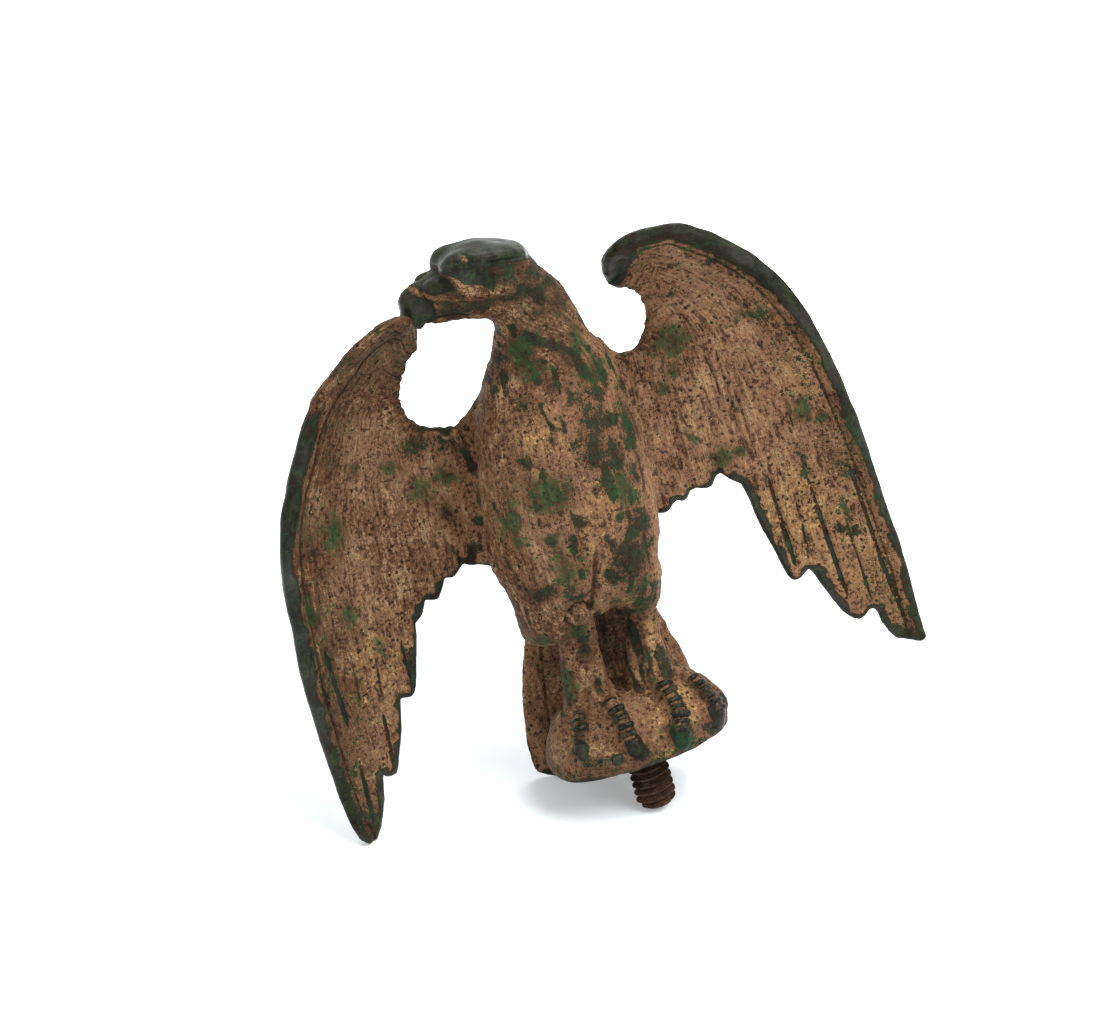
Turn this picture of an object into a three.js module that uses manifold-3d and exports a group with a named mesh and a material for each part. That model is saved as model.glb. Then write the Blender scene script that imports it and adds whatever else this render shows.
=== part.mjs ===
// Cast eagle that tops a flag pole, with an iron stud that screws into the pole.
// Millimetres. +Z runs up the stud's axis, the breast faces -Y, the head is turned towards -X.
// The origin is the middle of the plinth's flat underside.
import * as THREE from 'three';
import { mergeVertices } from 'three/addons/utils/BufferGeometryUtils.js';
import Module from 'manifold-3d';

const wasm = await Module();
wasm.setup();

// Driving dimensions
const wingReach = 50;
const wingTop = 82;
const wingThickness = 2.6;
const beadRadius = 1.7;
const neckTop = 76.5;
const torsoHalfWidth = 13.5;
const torsoHalfDepth = 11;
const headLength = 22;
const headHeight = 13.7;
const headHalfWidth = 5.8;
const plinthHalfWidth = 14.8;
const plinthDepth = 20;
const plinthHeight = 10.8;
const legSpread = 6.1;
const shankRadius = 2.5;
const toeRadius = 1.55;
const tailHalfWidth = 14.9;
const tailThickness = 2.8;
const tailDrop = 4.5;
const studDiameter = 6.35;
const studPitch = 1.27;
const studOut = 9.2;
const studIn = 7;

// Clearances
const seatGap = 0.3;
const socketGap = 0.2;

// Places that follow from the driving dimensions
const plinthFront = -0.4 * plinthDepth;
const plinthBack = plinthFront + plinthDepth;
const rumpHeight = 0.4 * neckTop;
const thighTop = 0.48 * neckTop;
const thighBottom = 0.295 * neckTop;

const castMetal = { color: 0x7a5a40, roughness: 0.55, metalness: 0.7 };
const darkMetal = { color: 0x2c352c, roughness: 0.45, metalness: 0.6 };
const rustyIron = { color: 0x4a2a20, roughness: 0.85, metalness: 0.3 };

// Solids and surfaces

function signedVolume(positions, indices) {
  let six = 0;
  const a = new THREE.Vector3();
  const b = new THREE.Vector3();
  const c = new THREE.Vector3();
  for (let i = 0; i < indices.length; i += 3) {
    a.fromArray(positions, 3 * indices[i]);
    b.fromArray(positions, 3 * indices[i + 1]);
    c.fromArray(positions, 3 * indices[i + 2]);
    six += a.dot(b.cross(c));
  }
  return six / 6;
}

function solidFrom(positions, indices) {
  if (signedVolume(positions, indices) < 0) {
    indices.reverse();
  }
  return new wasm.Manifold(new wasm.Mesh({
    numProp: 3,
    vertProperties: new Float32Array(positions),
    triVerts: new Uint32Array(indices),
  }));
}

function solidFromGeometry(geometry) {
  geometry.deleteAttribute('normal');
  geometry.deleteAttribute('uv');
  const merged = mergeVertices(geometry);
  return solidFrom(Array.from(merged.attributes.position.array), Array.from(merged.index.array));
}

// Skins a list of rings that all have as many points, and closes both ends with a fan
function loft(rings) {
  const sides = rings[0].length;
  const positions = rings.flat().flatMap((point) => point.toArray());
  const indices = [];
  for (let ring = 0; ring < rings.length - 1; ring++) {
    for (let side = 0; side < sides; side++) {
      const next = (side + 1) % sides;
      const low = ring * sides;
      const high = low + sides;
      indices.push(low + side, low + next, high + next);
      indices.push(low + side, high + next, high + side);
    }
  }
  [0, rings.length - 1].forEach((ring) => {
    const middle = rings[ring].reduce((sum, point) => sum.add(point), new THREE.Vector3());
    middle.divideScalar(sides);
    const hub = positions.length / 3;
    positions.push(...middle.toArray());
    for (let side = 0; side < sides; side++) {
      const here = ring * sides + side;
      const next = ring * sides + (side + 1) % sides;
      indices.push(...(ring === 0 ? [hub, next, here] : [hub, here, next]));
    }
  });
  return solidFrom(positions, indices);
}

function catmullRom(before, from, to, after, t) {
  const startSlope = (to - before) / 2;
  const endSlope = (after - from) / 2;
  const rise = to - from;
  return from + startSlope * t + (3 * rise - 2 * startSlope - endSlope) * t * t
    + (startSlope + endSlope - 2 * rise) * t * t * t;
}

// Puts more rows between the rows of a table, on a smooth curve through them
function refine(rows, steps) {
  const last = rows.length - 1;
  const out = [];
  for (let i = 0; i < last; i++) {
    const before = rows[Math.max(i - 1, 0)];
    const after = rows[Math.min(i + 2, last)];
    for (let step = 0; step < steps; step++) {
      const t = step / steps;
      out.push(rows[i].map((value, c) => catmullRom(before[c], value, rows[i + 1][c], after[c], t)));
    }
  }
  out.push(rows[last]);
  return out;
}

function soften(value, squareness) {
  return Math.sign(value) * Math.abs(value) ** (2 / squareness);
}

// An oval across Z, flatter-sided as squareness rises above 2
function levelOval({ x, z, halfWidth, front, back, sides, squareness }) {
  const middle = (front + back) / 2;
  const halfDepth = (back - front) / 2;
  return Array.from({ length: sides }, (_, side) => {
    const angle = 2 * Math.PI * side / sides;
    return new THREE.Vector3(
      x + halfWidth * soften(Math.cos(angle), squareness),
      middle + halfDepth * soften(Math.sin(angle), squareness),
      z,
    );
  });
}

// A round rod along a smooth line, its radius set by a function of the share travelled
function rod(points, steps, sides, radiusAt) {
  const curve = new THREE.CatmullRomCurve3(points);
  const frames = curve.computeFrenetFrames(steps, false);
  const rings = Array.from({ length: steps + 1 }, (_, step) => {
    const share = step / steps;
    const middle = curve.getPointAt(share);
    return Array.from({ length: sides }, (unused, side) => {
      const angle = 2 * Math.PI * side / sides;
      return middle.clone()
        .addScaledVector(frames.normals[step], radiusAt(share) * Math.cos(angle))
        .addScaledVector(frames.binormals[step], radiusAt(share) * Math.sin(angle));
    });
  });
  return loft(rings);
}

// The largest body left by a cut, without loose slivers
function mainBody(solid) {
  return solid.decompose().sort((a, b) => b.volume() - a.volume())[0];
}

// Torso with the neck and both thighs

const torsoSides = 28;
// Height by neckTop, then sideways shift and half width by torsoHalfWidth, front and back by depth
const torsoShares = [
  [0.3, -0.09, 0.4, -0.1, 0.72],
  [0.34, -0.1, 0.68, -0.44, 0.84],
  [0.4, -0.1, 0.87, -0.74, 0.88],
  [0.49, -0.1, 1.03, -0.93, 0.88],
  [0.6, -0.05, 1.02, -1.02, 0.85],
  [0.7, 0, 0.98, -1, 0.8],
  [0.79, 0.04, 0.91, -0.9, 0.75],
  [0.87, 0.1, 0.76, -0.77, 0.69],
  [0.93, 0.14, 0.575, -0.66, 0.63],
  [1, 0.16, 0.445, -0.6, 0.58],
];

function torsoRings(grow) {
  const rows = refine(torsoShares, 2);
  return rows.map(([height, shift, width, front, back], row) => {
    const end = (row === rows.length - 1) - (row === 0);
    return levelOval({
      x: shift * torsoHalfWidth,
      z: height * neckTop + end * grow,
      halfWidth: width * torsoHalfWidth + grow,
      front: front * torsoHalfDepth - grow,
      back: back * torsoHalfDepth + grow,
      sides: torsoSides,
      squareness: 2.2,
    });
  });
}

const thighShift = -0.14 * torsoHalfWidth;
// Height share from the thigh's foot, then its middle, half width, front and back by depth
const thighShares = [
  [0, 0.5, 0.22, -0.2, 0.3],
  [0.08, 0.51, 0.32, -0.4, 0.44],
  [0.3, 0.51, 0.38, -0.64, 0.56],
  [0.6, 0.47, 0.4, -0.86, 0.6],
  [1, 0.36, 0.34, -0.9, 0.5],
];

function thigh(side, grow) {
  const rows = refine(thighShares, 2);
  return loft(rows.map(([height, shift, width, front, back], row) => levelOval({
    x: thighShift + side * shift * torsoHalfWidth,
    z: thighBottom + height * (thighTop - thighBottom) - (row === 0) * grow,
    halfWidth: width * torsoHalfWidth + grow,
    front: front * torsoHalfDepth - grow,
    back: back * torsoHalfDepth + grow,
    sides: 16,
    squareness: 2,
  })));
}

function torso(grow) {
  return loft(torsoRings(grow)).add(thigh(1, grow)).add(thigh(-1, grow));
}

// Head, turned to the bird's right

// Place along the head by headLength, middle and half height by headHeight, half width
const skullShares = [
  [-0.25, -0.2, 0.16, 0.45],
  [-0.15, -0.1, 0.38, 0.88],
  [0, 0.06, 0.48, 1],
  [0.24, 0.08, 0.46, 0.97],
  [0.4, 0.05, 0.39, 0.84],
  [0.52, 0, 0.33, 0.66],
  [0.64, -0.02, 0.31, 0.5],
  [0.73, -0.06, 0.25, 0.38],
  [0.775, -0.08, 0.12, 0.2],
];
const capShares = [
  [-0.175, 0.17, 0.06, 0.55],
  [-0.12, 0.2, 0.13, 0.95],
  [0.03, 0.26, 0.2, 1.16],
  [0.25, 0.34, 0.23, 1.2],
  [0.42, 0.37, 0.18, 1],
  [0.51, 0.32, 0.08, 0.5],
];
const cereShares = [
  [0.4, 0.2, 0.05, 0.3],
  [0.46, 0.2, 0.17, 0.72],
  [0.6, 0.12, 0.19, 0.66],
  [0.67, 0.06, 0.08, 0.3],
];

// Rings that stand across X, from a table of shares measured towards the beak
function alongHead(shares, sides, squareness, grow) {
  return loft(refine(shares, 2).map(([along, middle, half, width]) => {
    const oval = levelOval({
      x: 0,
      z: 0,
      halfWidth: half * headHeight + grow,
      front: -width * headHalfWidth - grow,
      back: width * headHalfWidth + grow,
      sides,
      squareness,
    });
    return oval.map((point) => new THREE.Vector3(
      headMiddle.x - along * headLength,
      point.y,
      headMiddle.z + middle * headHeight + point.x,
    ));
  }));
}

const headMiddle = new THREE.Vector3(0, 0, neckTop + 0.42 * headHeight);

// The hooked end of the beak, by headLength towards the beak and headHeight up
const beakShares = [[0.66, 0.05], [0.725, 0.04], [0.75, -0.1], [0.735, -0.24], [0.68, -0.345]];

function beak(grow) {
  const points = beakShares.map(([along, up]) => new THREE.Vector3(
    headMiddle.x - along * headLength,
    headMiddle.y,
    headMiddle.z + up * headHeight,
  ));
  const thickness = 0.19 * headHeight + grow;
  return rod(points, 12, 12, (share) => thickness * (1 - 0.72 * share ** 2));
}

// The upper neck leans back under the skull; both ends lie inside the pieces that it joins
const napeShares = [
  [0.96, 0.15, 0.48, -0.58, 0.56],
  [1, 0.16, 0.445, -0.6, 0.58],
  [1.03, 0.14, 0.4, -0.56, 0.56],
  [1.06, 0.09, 0.34, -0.5, 0.52],
  [1.09, 0.02, 0.28, -0.42, 0.44],
];

function nape() {
  return loft(refine(napeShares, 2).map(([height, shift, width, front, back]) => levelOval({
    x: shift * torsoHalfWidth,
    z: height * neckTop,
    halfWidth: width * torsoHalfWidth,
    front: front * torsoHalfDepth,
    back: back * torsoHalfDepth,
    sides: torsoSides,
    squareness: 2.2,
  })));
}

function head(grow) {
  return alongHead(skullShares, 20, 2.2, grow)
    .add(alongHead(capShares, 20, 2.3, grow))
    .add(alongHead(cereShares, 16, 2, grow))
    .add(beak(grow))
    .add(nape());
}

// Wings: an outline cut from a cupped plate, with a rolled bead along the leading edge

const wingRootBack = 8;
const wingEdgeBack = 3;
const wingEdgeBow = 30;
const wingTopRoll = 9.7;

// How far back the middle of the wing's plate lies
function wingBack(x, z) {
  const root = 0.28 * wingReach;
  const out = Math.max(Math.abs(x) - root, 0) / (0.7 * wingReach);
  const up = z / wingTop;
  const edge = wingEdgeBack - wingEdgeBow * (up - 0.34) ** 2;
  const roll = Math.max(up - 0.8, 0) / 0.2;
  return wingRootBack - (wingRootBack - edge) * out ** 2 - wingTopRoll * roll ** 2;
}

function wingPlate(side) {
  const across = 12;
  const along = 16;
  const inner = 0.1 * wingReach;
  const outer = 1.06 * wingReach;
  const low = -0.04 * wingTop;
  const high = 1.06 * wingTop;
  const rings = [];
  for (let column = 0; column <= across; column++) {
    const x = inner + (outer - inner) * column / across;
    const ring = [];
    [-1, 1].forEach((face) => {
      for (let row = 0; row <= along; row++) {
        const step = face < 0 ? row : along - row;
        const z = low + (high - low) * step / along;
        ring.push(new THREE.Vector3(side * x, wingBack(x, z) + face * wingThickness / 2, z));
      }
    });
    rings.push(ring);
  }
  return loft(rings);
}

function wingOutline(side, edge, feathers) {
  const place = ([out, up]) => new THREE.Vector2(side * out * wingReach, up * wingTop);
  const shape = new THREE.Shape();
  shape.moveTo(...place(edge[0]).toArray());
  shape.splineThru(edge.slice(1).map(place));
  feathers.forEach((point) => shape.lineTo(...place(point).toArray()));
  const depth = 4 * torsoHalfDepth;
  const slab = new THREE.ExtrudeGeometry(shape, { depth, bevelEnabled: false, curveSegments: 2 });
  slab.rotateX(Math.PI / 2);
  slab.translate(0, depth / 2, 0);
  return solidFromGeometry(slab);
}

function leadingBead(side, edge) {
  const points = edge.map(([out, up]) => {
    const rim = new THREE.Vector2(out * wingReach, up * wingTop);
    const middle = new THREE.Vector2(0.45 * wingReach, 0.5 * wingTop);
    rim.addScaledVector(middle.sub(rim).normalize(), beadRadius + seatGap);
    return new THREE.Vector3(side * rim.x, wingBack(rim.x, rim.y) - 0.25 * wingThickness, rim.y);
  });
  return rod(points, 44, 8, (share) => beadRadius * (1 - 0.45 * share) * Math.min(1, 0.5 + 8 * share));
}

// Leading edges from the curled tip over the wrist to the wing tip, by wingReach and wingTop
const rightEdgeShares = [
  [0.322, 0.935], [0.322, 0.965], [0.377, 1.014], [0.465, 1.009], [0.555, 0.979], [0.628, 0.940],
  [0.702, 0.900], [0.814, 0.796], [0.906, 0.693], [0.931, 0.645], [0.967, 0.491], [0.985, 0.345],
  [0.985, 0.177], [0.974, 0.059], [0.960, 0.026],
];
const leftEdgeShares = [
  [0.305, 0.943], [0.308, 0.984], [0.336, 1.004], [0.423, 1.026], [0.548, 1.014], [0.627, 0.989],
  [0.704, 0.953], [0.846, 0.843], [0.919, 0.721], [0.961, 0.604], [0.983, 0.468], [0.997, 0.336],
  [1.007, 0.207], [1.003, 0.123], [0.997, 0.046],
];
// Feather tips from the wing tip to the root, then up the hollow beside the neck
const rightFeatherShares = [
  [0.938, 0.012], [0.908, 0.011], [0.877, 0.030], [0.821, 0.121], [0.793, 0.111], [0.761, 0.123],
  [0.728, 0.170], [0.688, 0.247], [0.652, 0.242], [0.627, 0.262], [0.596, 0.318], [0.569, 0.380],
  [0.539, 0.392], [0.519, 0.418], [0.477, 0.410], [0.461, 0.421], [0.436, 0.445], [0.411, 0.439],
  [0.367, 0.459], [0.347, 0.450], [0.299, 0.442], [0.1, 0.43], [0.1, 0.80], [0.167, 0.773],
  [0.213, 0.749], [0.265, 0.731], [0.345, 0.744], [0.379, 0.758], [0.404, 0.779], [0.410, 0.827],
  [0.367, 0.882], [0.332, 0.911],
];
const leftFeatherShares = [
  [0.999, 0.031], [0.968, 0.023], [0.913, 0.037], [0.884, 0.077], [0.874, 0.104], [0.862, 0.104],
  [0.803, 0.094], [0.779, 0.113], [0.736, 0.179], [0.713, 0.217], [0.699, 0.213], [0.647, 0.210],
  [0.638, 0.227], [0.622, 0.269], [0.603, 0.324], [0.576, 0.427], [0.548, 0.441], [0.519, 0.460],
  [0.504, 0.456], [0.463, 0.439], [0.432, 0.447], [0.395, 0.433], [0.362, 0.436], [0.328, 0.422],
  [0.291, 0.424], [0.1, 0.43], [0.1, 0.80], [0.265, 0.807], [0.291, 0.772], [0.312, 0.759],
  [0.352, 0.757], [0.377, 0.767], [0.421, 0.807], [0.418, 0.855], [0.375, 0.887], [0.322, 0.907],
];

function wing(side, edge, feathers) {
  const plate = wingPlate(side).intersect(wingOutline(side, edge, feathers));
  return mainBody(plate.add(leadingBead(side, edge)).subtract(torso(seatGap)).subtract(head(seatGap)));
}

// Plinth, a low dome with a flat underside and a blind socket for the stud

// Height, half width, then front and back measured from the plinth's front by its depth
const plinthShares = [
  [0, 0.96, 0.03, 0.97],
  [0.085, 1, 0, 1],
  [0.33, 0.993, 0.02, 1],
  [0.6, 0.912, 0.12, 0.98],
  [0.81, 0.784, 0.24, 0.94],
  [0.945, 0.595, 0.36, 0.88],
  [1, 0.34, 0.47, 0.8],
];

function plinthRow([height, width, front, back], grow) {
  return {
    x: 0,
    z: height * plinthHeight + (height > 0) * grow - (height === 0) * grow,
    halfWidth: width * plinthHalfWidth + grow,
    front: plinthFront + front * plinthDepth - grow,
    back: plinthFront + back * plinthDepth + grow,
    sides: 36,
    squareness: 2.5,
  };
}

function plinthDome(grow) {
  return loft(refine(plinthShares, 2).map((row) => levelOval(plinthRow(row, grow))));
}

function plinth() {
  const overrun = 1;
  const depth = studIn + socketGap + overrun;
  const socket = new THREE.CylinderGeometry(
    studDiameter / 2 + socketGap, studDiameter / 2 + socketGap, depth, 24,
  );
  socket.rotateX(Math.PI / 2);
  socket.translate(0, 0, depth / 2 - overrun);
  return plinthDome(0).subtract(solidFromGeometry(socket));
}

// Where a toe lies on the dome: heading is an angle round the plinth, row a place in its table
function onDome(heading, row, lift) {
  const table = refine(plinthShares, 4);
  const oval = plinthRow(table[Math.round(row * (table.length - 1))], lift);
  const middle = (oval.front + oval.back) / 2;
  return new THREE.Vector3(
    oval.halfWidth * soften(Math.cos(heading), oval.squareness),
    middle + (oval.back - oval.front) / 2 * soften(Math.sin(heading), oval.squareness),
    oval.z,
  );
}

// Legs, each a shank with three ringed toes that end in claws

const shankY = 0.42 * plinthDepth + plinthFront + 0.5 * shankRadius;
// Heading of each toe round the plinth's dome, in degrees from the bird's left
const toeHeadings = [-74, -52, -27];
const toeScutes = 6;

function toe(side, heading) {
  const angle = THREE.MathUtils.degToRad(side > 0 ? heading : 180 - heading);
  const root = new THREE.Vector3(side * legSpread, shankY, plinthHeight + 0.5 * toeRadius);
  const lift = 0.1 * toeRadius;
  const points = [root, onDome(angle, 0.72, lift), onDome(angle, 0.5, lift), onDome(angle, 0.3, lift),
    onDome(angle, 0.16, lift)];
  const ringed = (share) => 1 + 0.09 * Math.cos(2 * Math.PI * toeScutes * share);
  const claw = (share) => 1 - 0.7 * Math.max(share - 0.8, 0) / 0.2;
  return rod(points, 18, 8, (share) => toeRadius * ringed(share) * claw(share));
}

// Height from the plinth's top to above the thigh's foot, then the radius by shankRadius
const shankShares = [[-0.25, 1.9], [0, 1.6], [0.25, 1.12], [0.6, 1], [1, 1.05], [1.25, 1]];

function leg(side) {
  const rise = thighBottom - plinthHeight;
  const shank = loft(refine(shankShares, 2).map(([up, radius]) => levelOval({
    x: side * legSpread,
    z: plinthHeight + up * rise,
    halfWidth: radius * shankRadius,
    front: shankY - radius * shankRadius,
    back: shankY + radius * shankRadius,
    sides: 14,
    squareness: 2,
  })));
  const toes = toeHeadings.reduce((sum, heading) => sum.add(toe(side, heading)), shank);
  return mainBody(toes.subtract(torso(seatGap)).subtract(plinthDome(seatGap)));
}

// Tail, a fan that hangs from the rump and lies against the back of the plinth

// Height share from the tail's foot to the rump, half width, how far back, thickness
const tailShares = [
  [0, 0.8, 1, 0.7],
  [0.06, 0.96, 1, 0.95],
  [0.17, 1.01, 1, 1],
  [0.32, 0.98, 0.98, 1],
  [0.55, 0.86, 0.9, 1.05],
  [0.75, 0.72, 0.8, 1.15],
  [1, 0.55, 0.62, 1.3],
];
const tailShift = -0.05 * tailHalfWidth;

function tail() {
  const back = plinthBack + seatGap + tailThickness / 2;
  const rise = rumpHeight + tailDrop;
  const fan = loft(refine(tailShares, 2).map(([up, width, behind, thickness]) => levelOval({
    x: tailShift,
    z: up * rise - tailDrop,
    halfWidth: width * tailHalfWidth,
    front: behind * back - thickness * tailThickness / 2,
    back: behind * back + thickness * tailThickness / 2,
    sides: 26,
    squareness: 4,
  })));
  return mainBody(fan.subtract(torso(seatGap)).subtract(plinthDome(seatGap)));
}

// Threaded stud: a vee thread below the plinth, and a plain end inside its socket

const threadDepth = 0.61 * studPitch;

function studRadiusAt(angle, z) {
  const root = studDiameter / 2 - threadDepth;
  if (z > 0) {
    return root;
  }
  const turn = z / studPitch - angle / (2 * Math.PI);
  const phase = turn - Math.floor(turn);
  const crest = Math.min(1, 1.35 * (1 - Math.abs(2 * phase - 1)));
  const run = Math.min(-z, z + studOut) / studPitch;
  return root + threadDepth * crest * Math.min(1, Math.max(0, run));
}

function threadedStud() {
  const stepsPerTurn = 5;
  const steps = Math.round(stepsPerTurn * studOut / studPitch);
  const heights = Array.from({ length: steps + 1 }, (_, step) => -studOut + studOut * step / steps);
  heights.push(studIn);
  const sides = 18;
  return loft(heights.map((z) => Array.from({ length: sides }, (_, side) => {
    const angle = 2 * Math.PI * side / sides;
    const radius = studRadiusAt(angle, z);
    return new THREE.Vector3(radius * Math.cos(angle), radius * Math.sin(angle), z);
  })));
}

// Assembly

const group = new THREE.Group();

function addPiece(name, solid, look) {
  const mesh = solid.getMesh();
  const geometry = new THREE.BufferGeometry();
  geometry.setAttribute('position', new THREE.Float32BufferAttribute(mesh.vertProperties, 3));
  geometry.setIndex(Array.from(mesh.triVerts));
  geometry.computeVertexNormals();
  const piece = new THREE.Mesh(geometry, new THREE.MeshStandardMaterial(look));
  piece.name = name;
  group.add(piece);
}

addPiece('torso', torso(0), castMetal);
addPiece('head', mainBody(head(0).subtract(torso(seatGap))), darkMetal);
addPiece('right_wing', wing(-1, rightEdgeShares, rightFeatherShares), castMetal);
addPiece('left_wing', wing(1, leftEdgeShares, leftFeatherShares), castMetal);
addPiece('right_leg', leg(-1), castMetal);
addPiece('left_leg', leg(1), castMetal);
addPiece('tail', tail(), castMetal);
addPiece('plinth', plinth(), castMetal);
addPiece('threaded_stud', threadedStud(), rustyIron);

export default group;
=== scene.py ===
import math

import bpy
import numpy as np
from mathutils import Matrix, Vector


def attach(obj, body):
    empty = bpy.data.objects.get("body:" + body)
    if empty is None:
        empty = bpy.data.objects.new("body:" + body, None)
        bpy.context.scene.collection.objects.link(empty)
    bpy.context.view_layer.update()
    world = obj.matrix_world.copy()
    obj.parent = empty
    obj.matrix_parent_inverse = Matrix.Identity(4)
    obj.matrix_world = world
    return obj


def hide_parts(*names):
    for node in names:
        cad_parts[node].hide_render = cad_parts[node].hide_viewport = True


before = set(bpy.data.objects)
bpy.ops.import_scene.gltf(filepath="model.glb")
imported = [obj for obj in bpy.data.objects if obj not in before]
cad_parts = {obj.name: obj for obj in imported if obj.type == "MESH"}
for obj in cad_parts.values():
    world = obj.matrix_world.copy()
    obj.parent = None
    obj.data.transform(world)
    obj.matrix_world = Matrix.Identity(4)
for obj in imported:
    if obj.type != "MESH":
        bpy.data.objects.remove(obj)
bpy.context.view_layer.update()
mm = 0.001
print("frame loaded")

# Sizes that the casting's pieces share, in millimetres
eagle = {
    "wingReach": 50,
    "wingTop": 82,
    "neckTop": 76.5,
    "torsoHalfWidth": 13.5,
    "torsoHalfDepth": 11,
    "plinthHalfWidth": 14.8,
    "plinthDepth": 20,
    "plinthHeight": 10.8,
    "plinthFront": -8,
}
fineness = 1


# Sculpting: distance fields on a grid, then a skin over them

def makeGrid(low, high, step):
    spans = [np.arange(a, b + step, step, dtype=np.float32) for a, b in zip(low, high)]
    return np.ix_(*spans)


def flat(grid):
    # the grid's front view, for what is drawn in X and Z
    return grid[0][:, 0, :], grid[2][:, 0, :]


def lifted(values):
    # a front view's values for every depth of the grid
    return values.astype(np.float32)[:, None, :]


def joined(a, b, radius):
    # smooth union of two fields
    near = np.maximum(radius - np.abs(a - b), 0) / radius
    return np.minimum(a, b) - near * near * radius / 4


def trimmed(a, b, radius):
    # smooth intersection
    return -joined(-a, -b, radius)


def ramp(value, low, high):
    t = np.clip((value - low) / (high - low), 0, 1)
    return t * t * (3 - 2 * t)


def bump(value, width):
    return np.exp(-(value / width) ** 2)


def through(knots, values, at):
    # smooth curve through a table's rows
    knots = np.asarray(knots, float)
    values = np.asarray(values, float)
    slopes = np.gradient(values, knots)
    spot = np.clip(np.searchsorted(knots, at) - 1, 0, len(knots) - 2)
    width = knots[spot + 1] - knots[spot]
    t = np.clip((at - knots[spot]) / width, 0, 1)
    rise = values[spot + 1] - values[spot]
    start = slopes[spot] * width
    end = slopes[spot + 1] * width
    curve = start * t + (3 * rise - 2 * start - end) * t ** 2 + (start + end - 2 * rise) * t ** 3
    return (values[spot] + curve).astype(np.float32)


def ovalLoft(along, across, deep, rows, squareness, endRadius=1.5):
    # rows: place along the loft, middle and half width across, then low and high
    table = np.array(sorted(rows), float)
    middle, half, low, high = (through(table[:, 0], table[:, k], along) for k in range(1, 5))
    half = np.maximum(half, 0.1)
    depth = np.maximum((high - low) / 2, 0.1)
    a = np.abs(across - middle) / half
    b = np.abs(deep - (low + high) / 2) / depth
    p = squareness
    radial = np.maximum(a ** p + b ** p, 1e-3) ** (1 / p)
    slope = np.sqrt((a ** (p - 1) / half) ** 2 + (b ** (p - 1) / depth) ** 2) / radial ** (p - 1)
    side = (radial - 1) / np.maximum(slope, 0.02)
    ends = np.maximum(along - table[-1, 0], table[0, 0] - along)
    return trimmed(side, ends + 0 * side, endRadius)


def lineDistance(x, z, points):
    # distance to a chain of points and the share travelled along it at the nearest place
    points = np.asarray(points, float)
    steps = np.diff(points, axis=0)
    lengths = np.linalg.norm(steps, axis=1)
    before = np.concatenate([[0], np.cumsum(lengths)])
    best = np.full(np.broadcast(x, z).shape, 1e9)
    share = np.zeros_like(best)
    for start, step, length, travelled in zip(points, steps, lengths, before):
        way = step / length
        t = np.clip((x - start[0]) * way[0] + (z - start[1]) * way[1], 0, length)
        gap = np.hypot(x - start[0] - t * way[0], z - start[1] - t * way[1])
        share = np.where(gap < best, (travelled + t) / before[-1], share)
        best = np.minimum(best, gap)
    return best, share


def gapTo(x, z, points):
    return lineDistance(x, z, points)[0]


def insideOutline(x, z, points):
    inside = np.zeros(np.broadcast(x, z).shape, bool)
    points = np.asarray(points, float)
    for (ax, az), (bx, bz) in zip(points, np.roll(points, -1, 0)):
        if az == bz:
            continue
        crosses = (az > z) != (bz > z)
        inside ^= crosses & (x < (bx - ax) * (z - az) / (bz - az) + ax)
    return inside


def rodChain(grid, points, radii):
    x, y, z = grid
    field = None
    for (a, b), (ra, rb) in zip(zip(points[:-1], points[1:]), zip(radii[:-1], radii[1:])):
        a = np.asarray(a, float)
        way = np.asarray(b, float) - a
        t = ((x - a[0]) * way[0] + (y - a[1]) * way[1] + (z - a[2]) * way[2]) / way.dot(way)
        t = np.clip(t, 0, 1)
        gap = np.sqrt((x - a[0] - t * way[0]) ** 2 + (y - a[1] - t * way[1]) ** 2
                      + (z - a[2] - t * way[2]) ** 2) - (ra + t * (rb - ra))
        field = gap if field is None else joined(field, gap, 0.4)
    return field


def ball(grid, middle, radii):
    x, y, z = grid
    a = (x - middle[0]) / radii[0]
    b = (y - middle[1]) / radii[1]
    c = (z - middle[2]) / radii[2]
    return (np.sqrt(a * a + b * b + c * c) - 1) * min(radii)


def skin(field, low, step):
    inside = field < 0
    size = field.shape
    crossings = []
    quads = []
    for axis in range(3):
        u = (axis + 1) % 3
        v = (axis + 2) % 3
        first = np.take(inside, range(size[axis] - 1), axis)
        second = np.take(inside, range(1, size[axis]), axis)
        spot = np.argwhere(first != second)
        keep = (spot[:, u] > 0) & (spot[:, v] > 0)
        keep &= (spot[:, u] < size[u] - 1) & (spot[:, v] < size[v] - 1)
        spot = spot[keep]
        far = spot.copy()
        far[:, axis] += 1
        a = field[tuple(spot.T)]
        b = field[tuple(far.T)]
        point = spot.astype(float)
        point[:, axis] += a / (a - b)
        cells = []
        for du, dv in ((0, 0), (-1, 0), (-1, -1), (0, -1)):
            cell = spot.copy()
            cell[:, u] += du
            cell[:, v] += dv
            cells.append(np.ravel_multi_index(cell.T, size))
        quad = np.stack(cells, 1)
        quad = np.where((a < 0)[:, None], quad, quad[:, ::-1])
        crossings.append(point)
        quads.append(quad)
    crossings = np.repeat(np.concatenate(crossings), 4, 0)
    quads = np.concatenate(quads)
    number = np.unique(quads.ravel(), return_inverse=True)[1].ravel()
    count = np.bincount(number)
    points = np.stack([np.bincount(number, crossings[:, c]) / count for c in range(3)], 1)
    return np.asarray(low) + step * points, number.reshape(-1, 4)


def normalsOf(points, quads):
    face = np.cross(points[quads[:, 2]] - points[quads[:, 0]], points[quads[:, 3]] - points[quads[:, 1]])
    total = np.zeros_like(points)
    for corner in range(4):
        for c in range(3):
            total[:, c] += np.bincount(quads[:, corner], face[:, c], len(points))
    return total / np.maximum(np.linalg.norm(total, axis=1, keepdims=True), 1e-12)


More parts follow.
